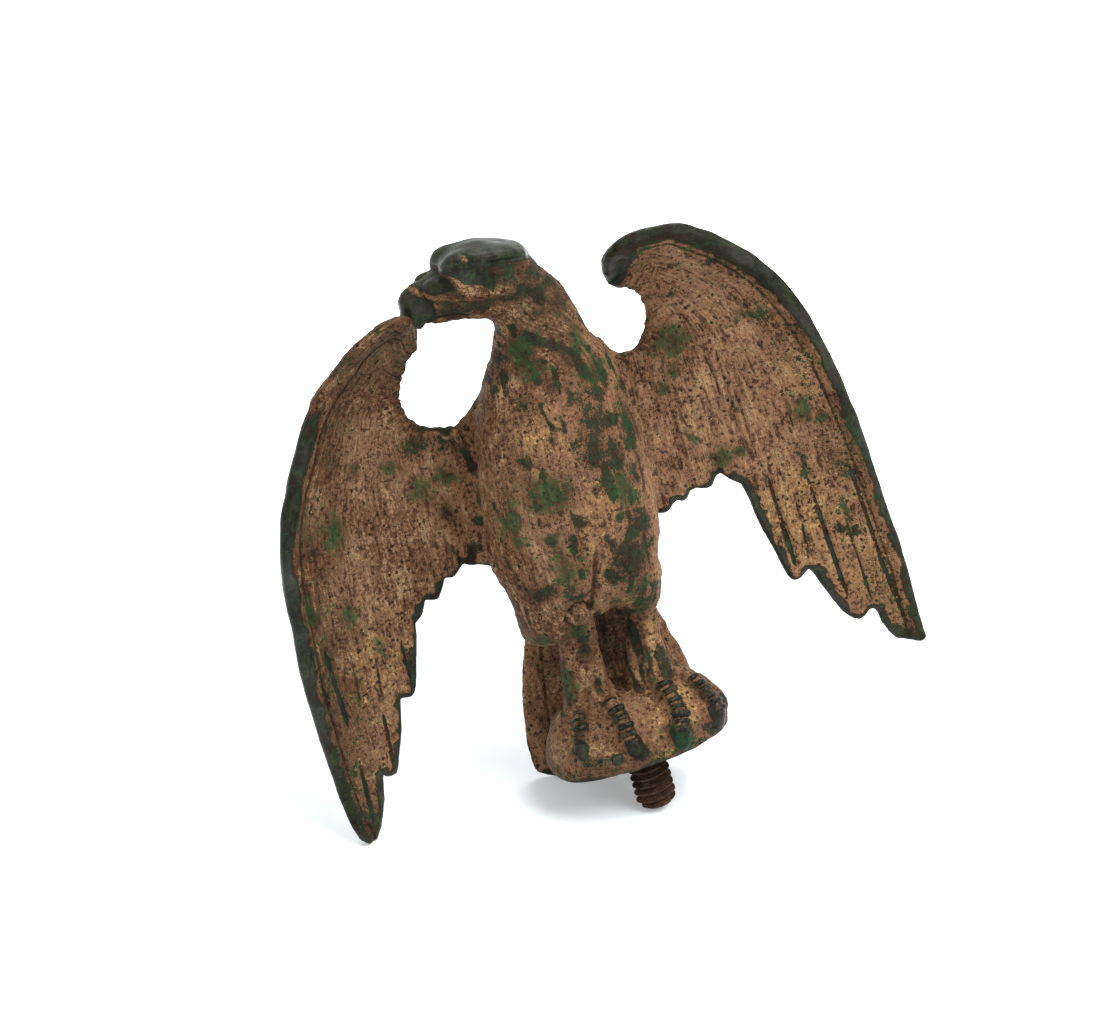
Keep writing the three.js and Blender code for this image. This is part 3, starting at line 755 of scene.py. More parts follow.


# How the metal is worn, with painted shade: values painted on each piece's points for the materials

# Patches on the front: place by wingReach across and wingTop up, half width and height in mm, strength
patches = {
    "green": [
        [-0.05, 0.862, 1.2, 2.3, 1], [-0.05, 0.832, 1.6, 0.7, 0.8],
        [0.127, 0.86, 0.7, 1.9, 0.8], [0.144, 0.8, 1.9, 1.6, 0.8],
        [-0.104, 0.609, 2.6, 2.5, 1], [0.124, 0.562, 1.4, 2.3, 1], [-0.233, 0.562, 1.1, 2.9, 1],
        [-0.143, 0.526, 1.7, 0.6, 0.9], [-0.125, 0.449, 1.5, 2.2, 0.9], [-0.061, 0.465, 0.7, 0.6, 1],
        [0.206, 0.69, 0.7, 2.6, 0.9], [0.114, 0.318, 1.1, 1.9, 1], [-0.106, 0.3, 1.3, 1.3, 0.9],
        [-0.232, 0.307, 1.0, 0.8, 1], [-0.18, 0.208, 0.9, 2.3, 1], [-0.195, 0.166, 0.9, 1.1, 1],
        [0.08, 0.141, 0.7, 0.9, 0.9], [0.1, 0.36, 1.4, 1.8, 0.8], [0.477, 0.754, 2.5, 1.9, 1],
        [0.41, 0.666, 1.0, 0.9, 0.9], [0.451, 0.707, 0.9, 1.4, 0.7], [0.537, 0.494, 1.6, 1.4, 1],
        [0.59, 0.494, 0.8, 0.8, 0.9], [0.728, 0.763, 2.2, 0.9, 0.8], [0.817, 0.54, 1.2, 2.4, 0.8],
        [0.874, 0.521, 0.7, 1.0, 0.9], [0.862, 0.314, 0.5, 1.6, 0.9], [0.457, 0.551, 0.6, 0.8, 0.8],
        [-0.439, 0.635, 1.6, 1.6, 0.8], [-0.352, 0.642, 1.2, 1.2, 0.9], [-0.632, 0.725, 1.0, 1.2, 0.8],
        [-0.754, 0.622, 1.7, 2.6, 0.8], [-0.776, 0.449, 1.1, 2.4, 0.8], [-0.711, 0.357, 0.5, 1.6, 0.9],
        [-0.374, 0.573, 0.8, 1.4, 0.7], [0.08, 0.055, 1.6, 0.9, 0.75], [0.106, 0.03, 1.7, 1.6, 1],
        [-0.5, 0.7, 2.2, 1.2, 0.6], [0.964, 0.326, 0.6, 0.7, 0.9], [0.61, 0.95, 2.2, 0.8, 0.5],
        [0.42, 0.97, 1.4, 1.0, 0.5], [-0.9, 0.5, 1.2, 3.0, 0.6], [0.955, 0.46, 0.8, 2.0, 0.5],
    ],
    "dark": [
        [-0.01, 0.894, 1.6, 1.2, 0.7], [-0.02, 0.858, 0.8, 1.6, 0.7], [0.238, 0.746, 0.9, 1.2, 1],
        [0.206, 0.665, 1.1, 4.6, 0.9], [-0.045, 0.746, 0.5, 2.8, 1], [0.097, 0.706, 2.4, 3.2, 0.75],
        [0.115, 0.762, 2.6, 1.9, 0.7], [0.094, 0.425, 2.7, 2.6, 1], [0.036, 0.407, 1.4, 1.4, 1],
        [0.158, 0.48, 1.3, 3.6, 0.9], [0.073, 0.672, 2.5, 3.8, 0.85], [0.131, 0.627, 1.2, 2.3, 0.95],
        [-0.142, 0.683, 1.0, 1.2, 0.9], [-0.043, 0.536, 0.8, 0.8, 1], [-0.198, 0.418, 1.9, 1.0, 0.9],
        [-0.102, 0.387, 2.1, 0.5, 1], [-0.08, 0.499, 0.6, 1.6, 0.9], [0.184, 0.583, 0.8, 1.6, 1],
        [-0.105, 0.262, 1.1, 2.3, 0.9], [0.09, 0.178, 0.8, 1.9, 1], [0.78, 0.752, 3.0, 0.7, 0.7],
        [0.643, 0.902, 1.5, 0.5, 0.9], [0.511, 0.91, 1.3, 0.4, 0.9], [0.773, 0.44, 0.8, 2.2, 0.8],
        [0.835, 0.28, 0.8, 0.7, 1], [0.87, 0.275, 0.7, 0.7, 1], [-0.411, 0.721, 3.4, 1.6, 0.75],
        [-0.3, 0.7, 2.0, 1.2, 0.6], [0.17, 0.8, 1.0, 2.2, 0.7], [-0.13, 0.41, 1.0, 1.4, 0.8],
        [-0.13, 0.985, 2.4, 0.8, 0.9], [-0.05, 0.985, 2.4, 0.7, 0.8], [0.01, 0.995, 2.2, 1.0, 0.75],
        [0.06, 1.015, 2.4, 1.3, 0.85], [0.1, 0.985, 2.0, 1.0, 0.8], [0.1, 0.945, 1.8, 1.4, 0.7],
        [0.03, 0.945, 1.6, 0.9, 0.6], [0.0, 1.045, 3.0, 1.2, 0.75], [-0.05, 1.045, 2.0, 1.4, 0.8],
        [0.215, 0.03, 1.6, 1.5, 0.9], [-0.04, 0.035, 1.5, 0.9, 0.9], [-0.062, 0.6, 1.2, 1.6, 0.7],
        [-0.16, 0.6, 0.8, 1.8, 0.6], [0.02, 0.33, 1.0, 2.2, 0.6], [0.05, 0.78, 0.7, 2.2, 0.7],
        [0.0, 0.8, 1.0, 1.2, 0.7], [0.07, 0.84, 0.8, 2.0, 0.7], [-0.1, 0.78, 0.9, 1.6, 0.6],
        [0.36, 0.52, 1.6, 0.8, 0.5], [0.62, 0.6, 1.2, 1.6, 0.5], [0.5, 0.85, 2.4, 0.6, 0.5],
    ],
    "gold": [
        [-0.217, 0.553, 0.8, 1.2, 1], [0.125, 0.207, 1.1, 3.4, 1], [0.15, 0.166, 1.4, 1.6, 1],
        [0.05, 0.012, 1.8, 1.4, 0.9], [-0.08, 0.723, 3.2, 4.2, 0.75], [0.03, 0.55, 3.4, 4.4, 0.65],
        [-0.04, 0.49, 2.6, 3.0, 0.6], [-0.43, 0.65, 1.2, 0.6, 1], [0.46, 0.71, 1.2, 2.2, 0.7],
        [0.72, 0.3, 8.0, 11, 0.72], [0.9, 0.17, 4.0, 9, 0.75], [-0.72, 0.3, 6.5, 14, 0.5],
        [-0.86, 0.15, 3.5, 8, 0.5], [0.1, 0.09, 5.0, 3.5, 0.7], [-0.5, 0.06, 4.0, 2.5, 0.5],
        [0.6, 0.79, 4.0, 3.0, 0.45], [0.83, 0.62, 4.0, 5.0, 0.55], [-0.1, 0.97, 0.6, 0.5, 0.8],
    ],
}
# Small raised marks: across, up, half width, half height and rise in millimetres
knobs = [[-5.6, 28.4, 1.9, 1.55, 1.45], [-0.6, 25.4, 1.1, 1.6, 0.3], [8.6, 30.5, 1.6, 2.2, 0.35],
         [-7.1, 88.9, 0.5, 0.5, 0.3], [-9.5, 30.5, 2.4, 2.8, 0.35], [1.5, 31.5, 1.6, 3.0, 0.3]]


def flowOf(points):
    # a number that stays the same along the chased strokes and changes across them
    x, y, z = points.T
    flow = x + 0.9 * (y + 12) * np.clip(x / 8, -1, 1) * ramp(y, 9, -4)
    throat = np.hypot(np.maximum(x + 9, 0), np.maximum(z - 76, 0) * 1.4) - 0.6 * y
    return flow + (throat - flow) * ramp(z, 68, 78) * ramp(np.abs(x), 20, 13)


def patchField(x, z, rows, warp):
    field = np.zeros(len(x))
    for out, up, wide, tall, strength in rows:
        a = (x + 0.7 * warp[0] - out * eagle["wingReach"]) / wide
        b = (z + 0.7 * warp[1] - up * eagle["wingTop"]) / tall
        field = np.maximum(field, strength * np.exp(-0.5 * (a * a + b * b)))
    return field


wear = {
    "mottling": 0.72,
    "mottlingFloor": 0.46,
    "patch": 0.84,
    "headPatch": 0.75,
    "greenBehind": 0.75,
    "smudge": 0.3,
    "foldShade": 0.7,
    "rim": {-1: 1.5, 1: 1.75},
    "tailShade": 0.38,
    "tailStreak": 0.7,
}


def paint(points, normals, kind):
    x, y, z = points.T
    out = np.abs(x)
    front = ramp(-normals[:, 1], -0.25, 0.3)
    flow = flowOf(points)
    soft = grain(points, 2.2, 11) + 0.6 * grain(points, 1.0, 12)
    broad = grain(points, 5.0, 13)
    warp = [grain(points, 1.6, seed) + 0.7 * grain(points, 0.7, seed + 1) for seed in (14, 16)]
    shown = 0 * front if kind == "tail" else front
    marks = {tint: patchField(x, z, rows, warp) * shown for tint, rows in patches.items()}
    # mottling runs along the strokes, thickest on the left breast and the neck
    neck = ramp(z, 62, 74) * ramp(out, 14, 10)
    strokes = grain(np.stack([flow / 1.6, z / 4.5, y / 8], 1), 1, 31)
    strokes = strokes * (1 - 0.3 * neck) + (0.4 + 0.35 * neck) * soft
    zone = 0.66 * bump(x - 5, 6) * ramp(z, 74, 64) + 0.37 * ramp(z, 60, 72)
    zone = wear["mottlingFloor"] + zone * ramp(out, 15, 11)
    behind = ramp(grain(points, 5.5, 21) + 0.5 * grain(points, 2.5, 22), 0.5, 0.95)
    worn = {
        "flow": flow,
        "dark": wear["mottling"] * ramp(strokes, 0.75 - 0.8 * zone, 1.3 - 0.8 * zone),
        "hollow": np.zeros(len(points)),
        "streak": 0.12 + 0.55 * ramp(z, 12, 27) + 0.3 * ramp(out, 8, 16),
        # darker russet and umber: painted shade on the bird's right side and on surfaces facing away, plus
        # a darker neck and middle of the breast
        "russetAndShade": 0.18 + 0.26 * ramp(-x, -1, 9) + 0.5 * neck + 0.25 * (1 - front) + 0.25 * bump(x - 2, 10),
        "green": np.maximum(marks["green"], wear["greenBehind"] * behind * (1 - front)),
        "gold": marks["gold"],
    }
    if kind == "torso":
        # painted shade on the lower right thigh and in the fold between the thighs
        worn["russetAndShade"] = worn["russetAndShade"] + 0.3 * ramp(z, 36, 30) * ramp(x, -2, -5)
        fold = bump(foldGap(x, z), 0.9) * ramp(z, 44, 36) * ramp(z, 25, 28) * front
        worn["hollow"] = wear["foldShade"] * fold
    elif kind == "head":
        worn["dark"] = np.maximum(worn["dark"], marks["dark"] * wear["headPatch"])
        paintHead(points, soft, worn)
    elif kind == "plinth":
        foot = ramp(z, 1.3 + 0.7 * soft, 0.1 + 0.7 * soft)
        worn["dark"] = 0.35 * ramp(z, 5, 2) + 0.4 * foot + 0.12 * broad
        worn["russetAndShade"] = worn["russetAndShade"] + 0.16
    elif kind == "tail":
        paintTail(points, front, soft, broad, worn)
    elif kind == "leg":
        paintLeg(points, soft, worn)
    else:
        paintWing(points, kind, front, soft, broad, worn)
    worn["dark"] = np.maximum(worn["dark"], wear["patch"] * marks["dark"])
    return worn


def paintWing(points, side, front, soft, broad, worn):
    x, _, z = points.T
    out = np.abs(x)
    _, toEdge, share, toTrail, grooves = wingMap(x, z, side)
    radius = beadRadiusAt(share)
    flow = worn["flow"]
    worn["flow"] = flow + (side * (52 - toEdge) - flow) * ramp(toEdge, 17, 6)
    band = wear["rim"][side] * radius * (0.62 + 0.38 * front) * (1 + 0.15 * broad)
    if side > 0:
        # the dark bead fills the curled tip and thins below the wrist
        band = band * (1 + 1.2 * ramp(share, 0.1, 0.03) - 0.3 * ramp(share, 0.28, 0.5))
    band = band + 0.1 + 0.6 * soft
    rim = ramp(toEdge, band + 0.55, band - 0.45)
    smudge = wear["smudge"] * ramp(toEdge, 14, 3) * (1 + 0.6 * broad)
    if side < 0:
        # the right wing's upper rim is rubbed back to the bare metal
        bare = ramp(z + 3.5 * broad + 1.5 * soft, 66, 74) * ramp(toEdge, 3.6 + soft, 2.2 + soft)
        rim = rim * (1 - 0.9 * bare)
        # painted shade darkens the right wing towards its leading edge
        worn["russetAndShade"] = worn["russetAndShade"] + 0.07 + 0.32 * ramp(toEdge, 14, 5)
    tips = ramp(toTrail, 1.4 + 0.8 * soft + 0.5 * broad, 0.7 + 0.8 * soft + 0.5 * broad)
    tips = tips * ramp(out, 10, 16) * (0.75 + 0.25 * front) * (1 - 0.65 * ramp(z + 3 * broad, 57, 63))
    point = 0.62 * ramp(z, 9, 3) * ramp(out, 38, 45)
    dark = np.maximum.reduce([worn["dark"] * ramp(out, 26, 14), rim, smudge, tips, point])
    cut = ramp(grooves, 0.25, 0.75) * front
    # darker in the feather grooves, dirt and painted shade, and a painted shadow line inside the bead
    worn["hollow"] = np.maximum(0.85 * cut, 0.7 * bump(toEdge - 2 * radius - 0.35, 0.4) * front)
    worn["dark"] = np.maximum(dark, cut * ramp(broad + 0.4 * soft, 0.0, 0.3))


def paintTail(points, front, soft, broad, worn):
    x, _, z = points.T
    middle = tailSizes["shift"] * tailSizes["halfWidth"]
    spread = (x - middle) / (tailSizes["halfWidth"] * (1 - 0.012 * np.maximum(z - 5, 0)))
    feather = ramp(-np.cos(math.pi * tailSizes["feathers"] * spread), 0.7, 1)
    between = ramp(np.abs(x - 1), 7.5, 5)
    above = ramp(z, 9, 12)
    worn["flow"] = x
    worn["dark"] = np.maximum(ramp(z, -1.5 + 0.8 * soft, -3 + 0.8 * soft), 0.16 + 0.25 * broad)
    # painted shade on the tail's front behind the legs, and darker grooves between the feathers
    worn["russetAndShade"] = wear["tailShade"] + 0.3 * front * between * above
    worn["hollow"] = np.maximum(0.6 * feather, 0.58 * front * between * above)
    worn["streak"] = np.full(len(points), wear["tailStreak"])


def paintLeg(points, soft, worn):
    x, _, z = points.T
    worn["russetAndShade"] = worn["russetAndShade"] + 0.22
    for plan in toePlans[1 if x.mean() > 0 else -1]:
        tip = np.array(toeLine(plan)[-1][0] + toeLine(plan)[-2][0]) / 2
        reach = np.linalg.norm((points - tip) * [1, 0.6, 0.8], axis=1) - plan["claw"]
        claw = ramp(reach, 0.9 + 0.5 * soft, 0.1 + 0.5 * soft)
        line = np.array([place for place, _ in toeLine(plan, 13)])
        toe = (0.36 + 0.2 * soft) * ramp(gapTo(x, z, line[:, ::2]), 1.9, 0.7) * ramp(z, 11, 9)
        worn["dark"] = np.maximum.reduce([worn["dark"], claw, toe])


def paintHead(points, soft, worn):
    x, y, z = points.T
    own = ramp(z, 76.6, 79)
    cheek, bill, mouth, tip = (gapTo(x, z, line) for line in (cheekRidge, beakRidge, mouthLine, beakEdge))
    line = np.array(capUnderside)
    underside = np.interp(x, line[:, 0], line[:, 1])
    cap = ramp(z - underside + 0.12 * soft, -0.15, 0.2)
    face = np.maximum(ramp(x, -12.6, -13.6), ramp(x, -7.5, -10) * ramp(z, 84.0, 84.8))
    face = np.maximum(face, (0.5 + 0.3 * soft) * ramp(x, -7.5, -10))
    below = 0.52 * ramp(z, 81.6, 83.8) * ramp(x, -6.2, -4.8)
    jowl = 0.55 * bump(z - 80.9 + 0.1 * x, 1.1) * ramp(x, -8, -7)
    stains = [(stain + 0.2 * soft) * own for stain in (below, jowl)]
    dark = np.maximum.reduce([cap, face * 0.95, worn["dark"], *stains])
    width = 0.75 + 0.25 * soft - 0.3 * ramp(x, -7, -4)
    bare = np.maximum(bump(cheek, width) * ramp(z, 81, 82), 0.85 * bump(bill, 0.5 + 0.2 * soft))
    jaw = ramp(z, 80.5, 79.9) * ramp(x, -15, -13.5)
    bare = np.maximum(bare * (1 - cap), 0.75 * jaw * ramp(x, -1, -5)) * own
    eye = np.hypot(x - eyePlace[0], z - eyePlace[1]) + 9 * ramp(np.abs(y), 4.6, 4.2)
    worn["dark"] = dark * (1 - bare) - 1.2 * ramp(eye, 0.68, 0.5)
    # darker along the mouth line and the beak's edge
    worn["hollow"] = 0.8 * np.maximum(bump(mouth, 0.4), bump(tip, 0.35)) * own


# Relief that the noise gives each piece's skin, in millimetres

reliefSizes = {
    "lump": 0.16,
    "pebble": 0.11,
    "stroke": 0.18,
    "pit": 0.16,
    "lumpSize": 3.2,
    "pebbleSize": 1.1,
    "strokeWidth": 0.85,
    "strokeLength": 6.5,
}


def relief(points, normals, painted):
    x, _, z = points.T
    front = ramp(-normals[:, 1], -0.1, 0.3)
    smooth = 1 - 0.75 * ramp(painted["dark"], 0.4, 0.8)
    lump = grain(points, reliefSizes["lumpSize"], 51)
    pebble = grain(points, reliefSizes["pebbleSize"], 52) + 0.6 * grain(points, 0.55, 53)
    across = painted["flow"][:, None] / reliefSizes["strokeWidth"]
    strokes = grain(np.concatenate([across, points / reliefSizes["strokeLength"]], 1), 1, 54)
    marks = grain(np.concatenate([across * 1.1, points / 2.6], 1), 1, 55)
    pits = ramp(marks, 0.45, 0.7) * (0.35 + 0.65 * painted["streak"])
    height = reliefSizes["lump"] * lump + smooth * reliefSizes["pebble"] * pebble
    height = height + smooth * reliefSizes["stroke"] * strokes * painted["streak"]
    height = height - smooth * reliefSizes["pit"] * pits
    for across, up, wide, tall, rise in knobs:
        reach = np.hypot((x - across) / wide, (z - up) / tall)
        height = height + front * (rise * ramp(reach, 1.15, 0.7) - 0.35 * rise * bump(reach - 1.25, 0.18))
        if rise > 1:
            # darker in the groove round the big knob and in the pits
            ring = front * bump(reach - 1.22 + 0.12 * pebble, 0.13)
            painted["hollow"] = np.maximum(painted["hollow"], 0.85 * ring)
    painted["hollow"] = np.maximum(painted["hollow"], 0.62 * pits * smooth)
    return height


# Materials

class Wire:
    def __init__(self, bench, socket):
        self.bench = bench
        self.socket = socket

    def also(self, output):
        # another output of the same node
        return Wire(self.bench, self.socket.node.outputs[output])

    def __add__(self, other):
        return self.bench.maths("ADD", self, other)

    def __radd__(self, other):
        return self.bench.maths("ADD", other, self)

    def __sub__(self, other):
        return self.bench.maths("SUBTRACT", self, other)

    def __rsub__(self, other):
        return self.bench.maths("SUBTRACT", other, self)

    def __mul__(self, other):
        return self.bench.maths("MULTIPLY", self, other)

    def __rmul__(self, other):
        return self.bench.maths("MULTIPLY", other, self)

    def __truediv__(self, other):
        return self.bench.maths("DIVIDE", self, other)


class Bench:
    def __init__(self, tree):
        self.tree = tree

    def node(self, kind, settings=None, sockets=None, output=0):
        made = self.tree.nodes.new(kind)
        for key, value in (settings or {}).items():
            setattr(made, key, value)
        for key, value in (sockets or {}).items():
            self.feed(made.inputs[key], value)
        return Wire(self, made.outputs[output])

    def feed(self, socket, value):
        if isinstance(value, Wire):
            self.tree.links.new(value.socket, socket)
        else:
            socket.default_value = value

    def maths(self, operation, first, second=0.0):
        return self.node("ShaderNodeMath", {"operation": operation}, {0: first, 1: second})

    def vector(self, *parts):
        return self.node("ShaderNodeCombineXYZ", None, dict(enumerate(parts)))

    def finish(self, kind, result):
        self.tree.links.new(result.socket, self.tree.nodes.new(kind).inputs[0])

    def fill(self, shader, values):
        for key, value in values.items():
            self.feed(shader.socket.node.inputs[key], value)

    def bump(self, height, strength, distance):
        sockets = {"Height": height, "Strength": strength, "Distance": distance}
        return self.node("ShaderNodeBump", None, sockets)

    def mix(self, factor, first, second):
        return self.node("ShaderNodeMix", {"data_type": "RGBA"}, {0: factor, 6: first, 7: second}, 2)

    def ease(self, value, low, high):
        settings = {"interpolation_type": "SMOOTHSTEP"}
        return self.node("ShaderNodeMapRange", settings, {0: value, 1: low, 2: high})

    def larger(self, first, second):
        return self.maths("MAXIMUM", first, second)

    def attribute(self, name):
        return self.node("ShaderNodeAttribute", {"attribute_name": name}, None, "Fac")

    def scaled(self, vector, amount):
        return self.node("ShaderNodeVectorMath", {"operation": "SCALE"}, {0: vector, "Scale": amount}, 0)

    def noise(self, vector, scale, detail=2.0, rough=0.55, w=None):
        settings = {"noise_dimensions": "3D" if w is None else "4D"}
        sockets = {"Vector": vector, "Scale": scale, "Detail": detail, "Roughness": rough}
        if w is not None:
            sockets["W"] = w
        return self.node("ShaderNodeTexNoise", settings, sockets)


def emptied(holder):
    # the bench for a material's or the world's own nodes
    holder.use_nodes = True
    holder.node_tree.nodes.clear()
    return Bench(holder.node_tree)


def addObject(name, data):
    made = bpy.data.objects.new(name, data)
    bpy.context.scene.collection.objects.link(made)
    return made


def colour(*screen):
    # screen values of 11 to 255 as the linear colour that a shader takes
    return (*[((v / 255 + 0.055) / 1.055) ** 2.4 for v in screen], 1)


metalLook = {
    "tan": colour(139, 101, 75),
    "pale": colour(176, 142, 106),
    "ochre": colour(150, 114, 76),
    "russet": colour(95, 62, 45),
    "umber": colour(78, 61, 45),
    "shadow": colour(52, 36, 26),
    "dirtAndShade": colour(28, 22, 18),
    "gold": colour(196, 158, 106),
    "green": colour(41, 68, 38),
    "deepGreen": colour(25, 42, 26),
    "black": colour(20, 22, 16),
    "slate": colour(35, 38, 30),
    "olive": colour(50, 50, 35),
}
surfaceLook = {
    "Specular IOR Level": 0.06,
    "Coat Roughness": 0.28,
}


def newMaterial(name):
    material = bpy.data.materials.new(name)
    bench = emptied(material)
    surface = bench.node("ShaderNodeBsdfPrincipled")
    bench.finish("ShaderNodeOutputMaterial", surface)
    bench.fill(surface, surfaceLook)
    place = bench.node("ShaderNodeTexCoord", None, None, "Object")
    return material, bench, surface, bench.scaled(place, 1 / mm)


# Noise on the brass: scale per millimetre, detail and roughness
brassNoise = {
    "wide": (0.1, 3),
    "blotch": (0.2, 3, 0.6),
    "patchy": (0.42, 4, 0.62),
    "fine": (1.5, 5, 0.7),
    "sandy": (4.2, 3, 0.65),
}


def agedBrass():
    look = metalLook
    material, bench, surface, place = newMaterial("agedBrass")
    flow, streak, gilded = (bench.attribute(name) for name in ("flow", "streak", "gold"))
    wide, blotch, patchy, fine, sandy = (bench.noise(place, *plan) - 0.5 for plan in brassNoise.values())
    strokes = bench.noise(bench.scaled(place, 0.16), 1.0, 3, 0.6, flow * 1.5) - 0.5
    hairs = bench.noise(bench.scaled(place, 0.5), 1.0, 2, 0.6, flow * 4.5) - 0.5
    strokes = strokes * streak
    hairs = hairs * streak
    # brown metal: tan, turning russet and umber with the painted shade and the metal's own russet tone,
    # ochre where it is gilt
    dim = bench.ease(bench.attribute("russetAndShade") + wide * 1.8 + patchy * 0.9, 0.1, 1.0)
    brown = bench.mix(bench.ease(wide * 2.5 + patchy, -0.3, 0.3), look["umber"], look["russet"])
    base = bench.mix(dim, look["tan"], brown)
    base = bench.mix(bench.ease(gilded + patchy * 1.4 + wide, 0.2, 1.0) * 0.85, base, look["ochre"])
    tone = fine * 4.2 + sandy * 3.0 + patchy * 2.6 + blotch * 2.4 + strokes * 2.6 + hairs * 2.0
    base = bench.mix(bench.ease(tone, 0.05, 1.0) * 0.85, base, look["pale"])
    base = bench.mix(bench.ease(0 - tone, 0.05, 1.0) * 0.9, base, look["shadow"])
    # small dark pits in loose clusters, and the marks of the chasing tool
    spotted = bench.node("ShaderNodeTexVoronoi", {"feature": "F1"}, {"Vector": place, "Scale": 0.95})
    cluster = bench.ease(patchy + wide * 0.6 + gilded * 0.1, -0.02, 0.14)
    pits = bench.ease(0.33 - spotted - fine * 0.9, 0.0, 0.1) * (0.25 + 0.75 * cluster)
    holes = bench.node("ShaderNodeTexVoronoi", {"feature": "F1"}, {"Vector": place, "Scale": 0.6})
    pits = bench.larger(pits, bench.ease(0.22 - holes - fine * 2.0, 0.0, 0.12) * 0.7)
    specks = bench.ease(bench.noise(place, 2.6, 2, 0.6), 0.6, 0.7)
    marks = bench.ease(bench.noise(bench.scaled(place, 0.3), 1.0, 2, 0.5, flow * 0.9), 0.6, 0.68) * streak
    dirtAndShade = bench.larger(bench.larger(pits, specks * 0.7), marks * 0.75)
    # recesses darkened: dirt in the pits and grooves, and painted shade in the fold, behind the legs and
    # inside the wing beads
    dirtAndShade = bench.larger(dirtAndShade, bench.ease(bench.attribute("hollow") + fine * 1.3, 0.4, 0.7))
    base = bench.mix(dirtAndShade * 0.88, base, look["dirtAndShade"])
    gilt = bench.ease(bench.noise(place, 2.1, 3, 0.65) + patchy * 0.6 + gilded * 0.14, 0.68, 0.76)
    base = bench.mix(gilt * 0.65, base, look["gold"])
    # dark smooth patina on the rims, the crown, the beak and the claws, and thin stains elsewhere
    torn = fine * 2.8 + sandy * 2.0 + patchy * 1.6 + strokes * 0.8
    edge = bench.attribute("dark")
    polish = bench.ease(edge, 0.8, 1.0)
    dark = bench.ease(edge * 1.08 + torn * (0.84 - polish * 0.57), 0.44, 0.58)
    night = bench.mix(bench.ease(patchy * 1.6 + fine, -0.2, 0.25), look["black"], look["deepGreen"])
    night = bench.mix(bench.ease(wide * 1.5 + fine * 1.2, 0.05, 0.4) * 0.4, night, look["slate"])
    worn = bench.ease(fine * 1.5 + sandy + patchy * 1.4, 0.22, 0.38) * 0.6
    night = bench.mix(bench.larger(worn, 0.2 - polish * 0.2), night, look["olive"])
    base = bench.mix(dark * 0.94, base, night)
    # green paint left in patches with ragged edges
    green = bench.ease(bench.attribute("green") * 1.08 + torn * 1.05, 0.46, 0.64)
    leaf = bench.ease(fine * 2 + sandy + patchy * 1.5, -0.3, 0.3)
    leaf = bench.mix(leaf, look["deepGreen"], look["green"])
    base = bench.mix(green * 0.82, base, leaf)
    rough = 0.64 + fine * 0.3 + dirtAndShade * 0.2 - gilt * 0.16
    metal = 0.22 - 0.2 * bench.larger(green, dirtAndShade) + gilt * 0.35
    height = fine * 0.6 + sandy * 0.3 * (1 - dark * 0.75) + strokes * 1.0 + hairs * 0.5
    height = height - dirtAndShade * 0.5 + green * 0.12
    bench.fill(surface, {
        "Base Color": base,
        "Roughness": rough - (rough - 0.4 - sandy * 0.4) * dark * (0.2 + polish * 0.8),
        "Metallic": metal - metal * dark * 0.9,
        "Coat Weight": dark * polish * (1 - green) * (0.17 + wide * 1.3),
        "Normal": bench.bump(height, 0.6, 0.00026),
    })
    return material


def darkPatina():
    look = metalLook
    material, bench, surface, place = newMaterial("darkPatina")
    patchy = bench.noise(place, 0.6, 3, 0.6) - 0.5
    fine = bench.noise(place, 2.4, 4, 0.65) - 0.5
    base = bench.mix(bench.ease(patchy * 1.5 + fine, -0.1, 0.3), look["black"], look["deepGreen"])
    rubbed = bench.ease(fine * 1.5 + patchy * 1.6, 0.0, 0.22)
    base = bench.mix(rubbed * 0.8, base, look["umber"])
    bench.fill(surface, {
        "Base Color": base,
        "Roughness": 0.4 + fine * 0.5,
        "Coat Weight": 0.1 - rubbed * 0.08,
        "Normal": bench.bump(fine, 0.5, 0.00014),
    })
    return material


ironLook = {
    "dark": colour(48, 35, 28),
    "rust": colour(96, 69, 54),
    "dusty": colour(118, 92, 74),
}


def rustyIron():
    material, bench, surface, place = newMaterial("rustyIron")
    patchy = bench.noise(place, 0.5, 4, 0.6)
    fine = bench.noise(place, 3.0, 5, 0.65)
    rusted = bench.ease(fine + (patchy - 0.5) * 0.6, 0.35, 0.7)
    base = bench.mix(rusted, ironLook["dark"], ironLook["rust"])
    base = bench.mix(bench.ease(fine * patchy, 0.3, 0.42) * 0.6, base, ironLook["dusty"])
    bench.fill(surface, {
        "Base Color": base,
        "Roughness": 0.8 - (fine - 0.5) * 0.5,
        "Metallic": 0.2,
        "Normal": bench.bump(fine, 0.7, 0.00018),
    })
    return material


materials = {"agedBrass": agedBrass(), "darkPatina": darkPatina(), "rustyIron": rustyIron()}
print("materials made")


# Cast pieces

def meshObject(name, points, quads, painted):
    mesh = bpy.data.meshes.new(name)
    mesh.vertices.add(len(points))
    mesh.vertices.foreach_set("co", (points * mm).astype(np.float32).ravel())
    mesh.loops.add(quads.size)
    mesh.loops.foreach_set("vertex_index", quads.astype(np.int32).ravel())
    mesh.polygons.add(len(quads))
    mesh.polygons.foreach_set("loop_start", np.arange(0, quads.size, 4, dtype=np.int32))
    mesh.update(calc_edges=True)
    mesh.validate()
    mesh.polygons.foreach_set("use_smooth", np.ones(len(mesh.polygons), bool))
    for key, values in painted.items():
        layer = mesh.attributes.new(key, "FLOAT", "POINT")
        layer.data.foreach_set("value", np.asarray(values, np.float32))
    return addObject(name, mesh)


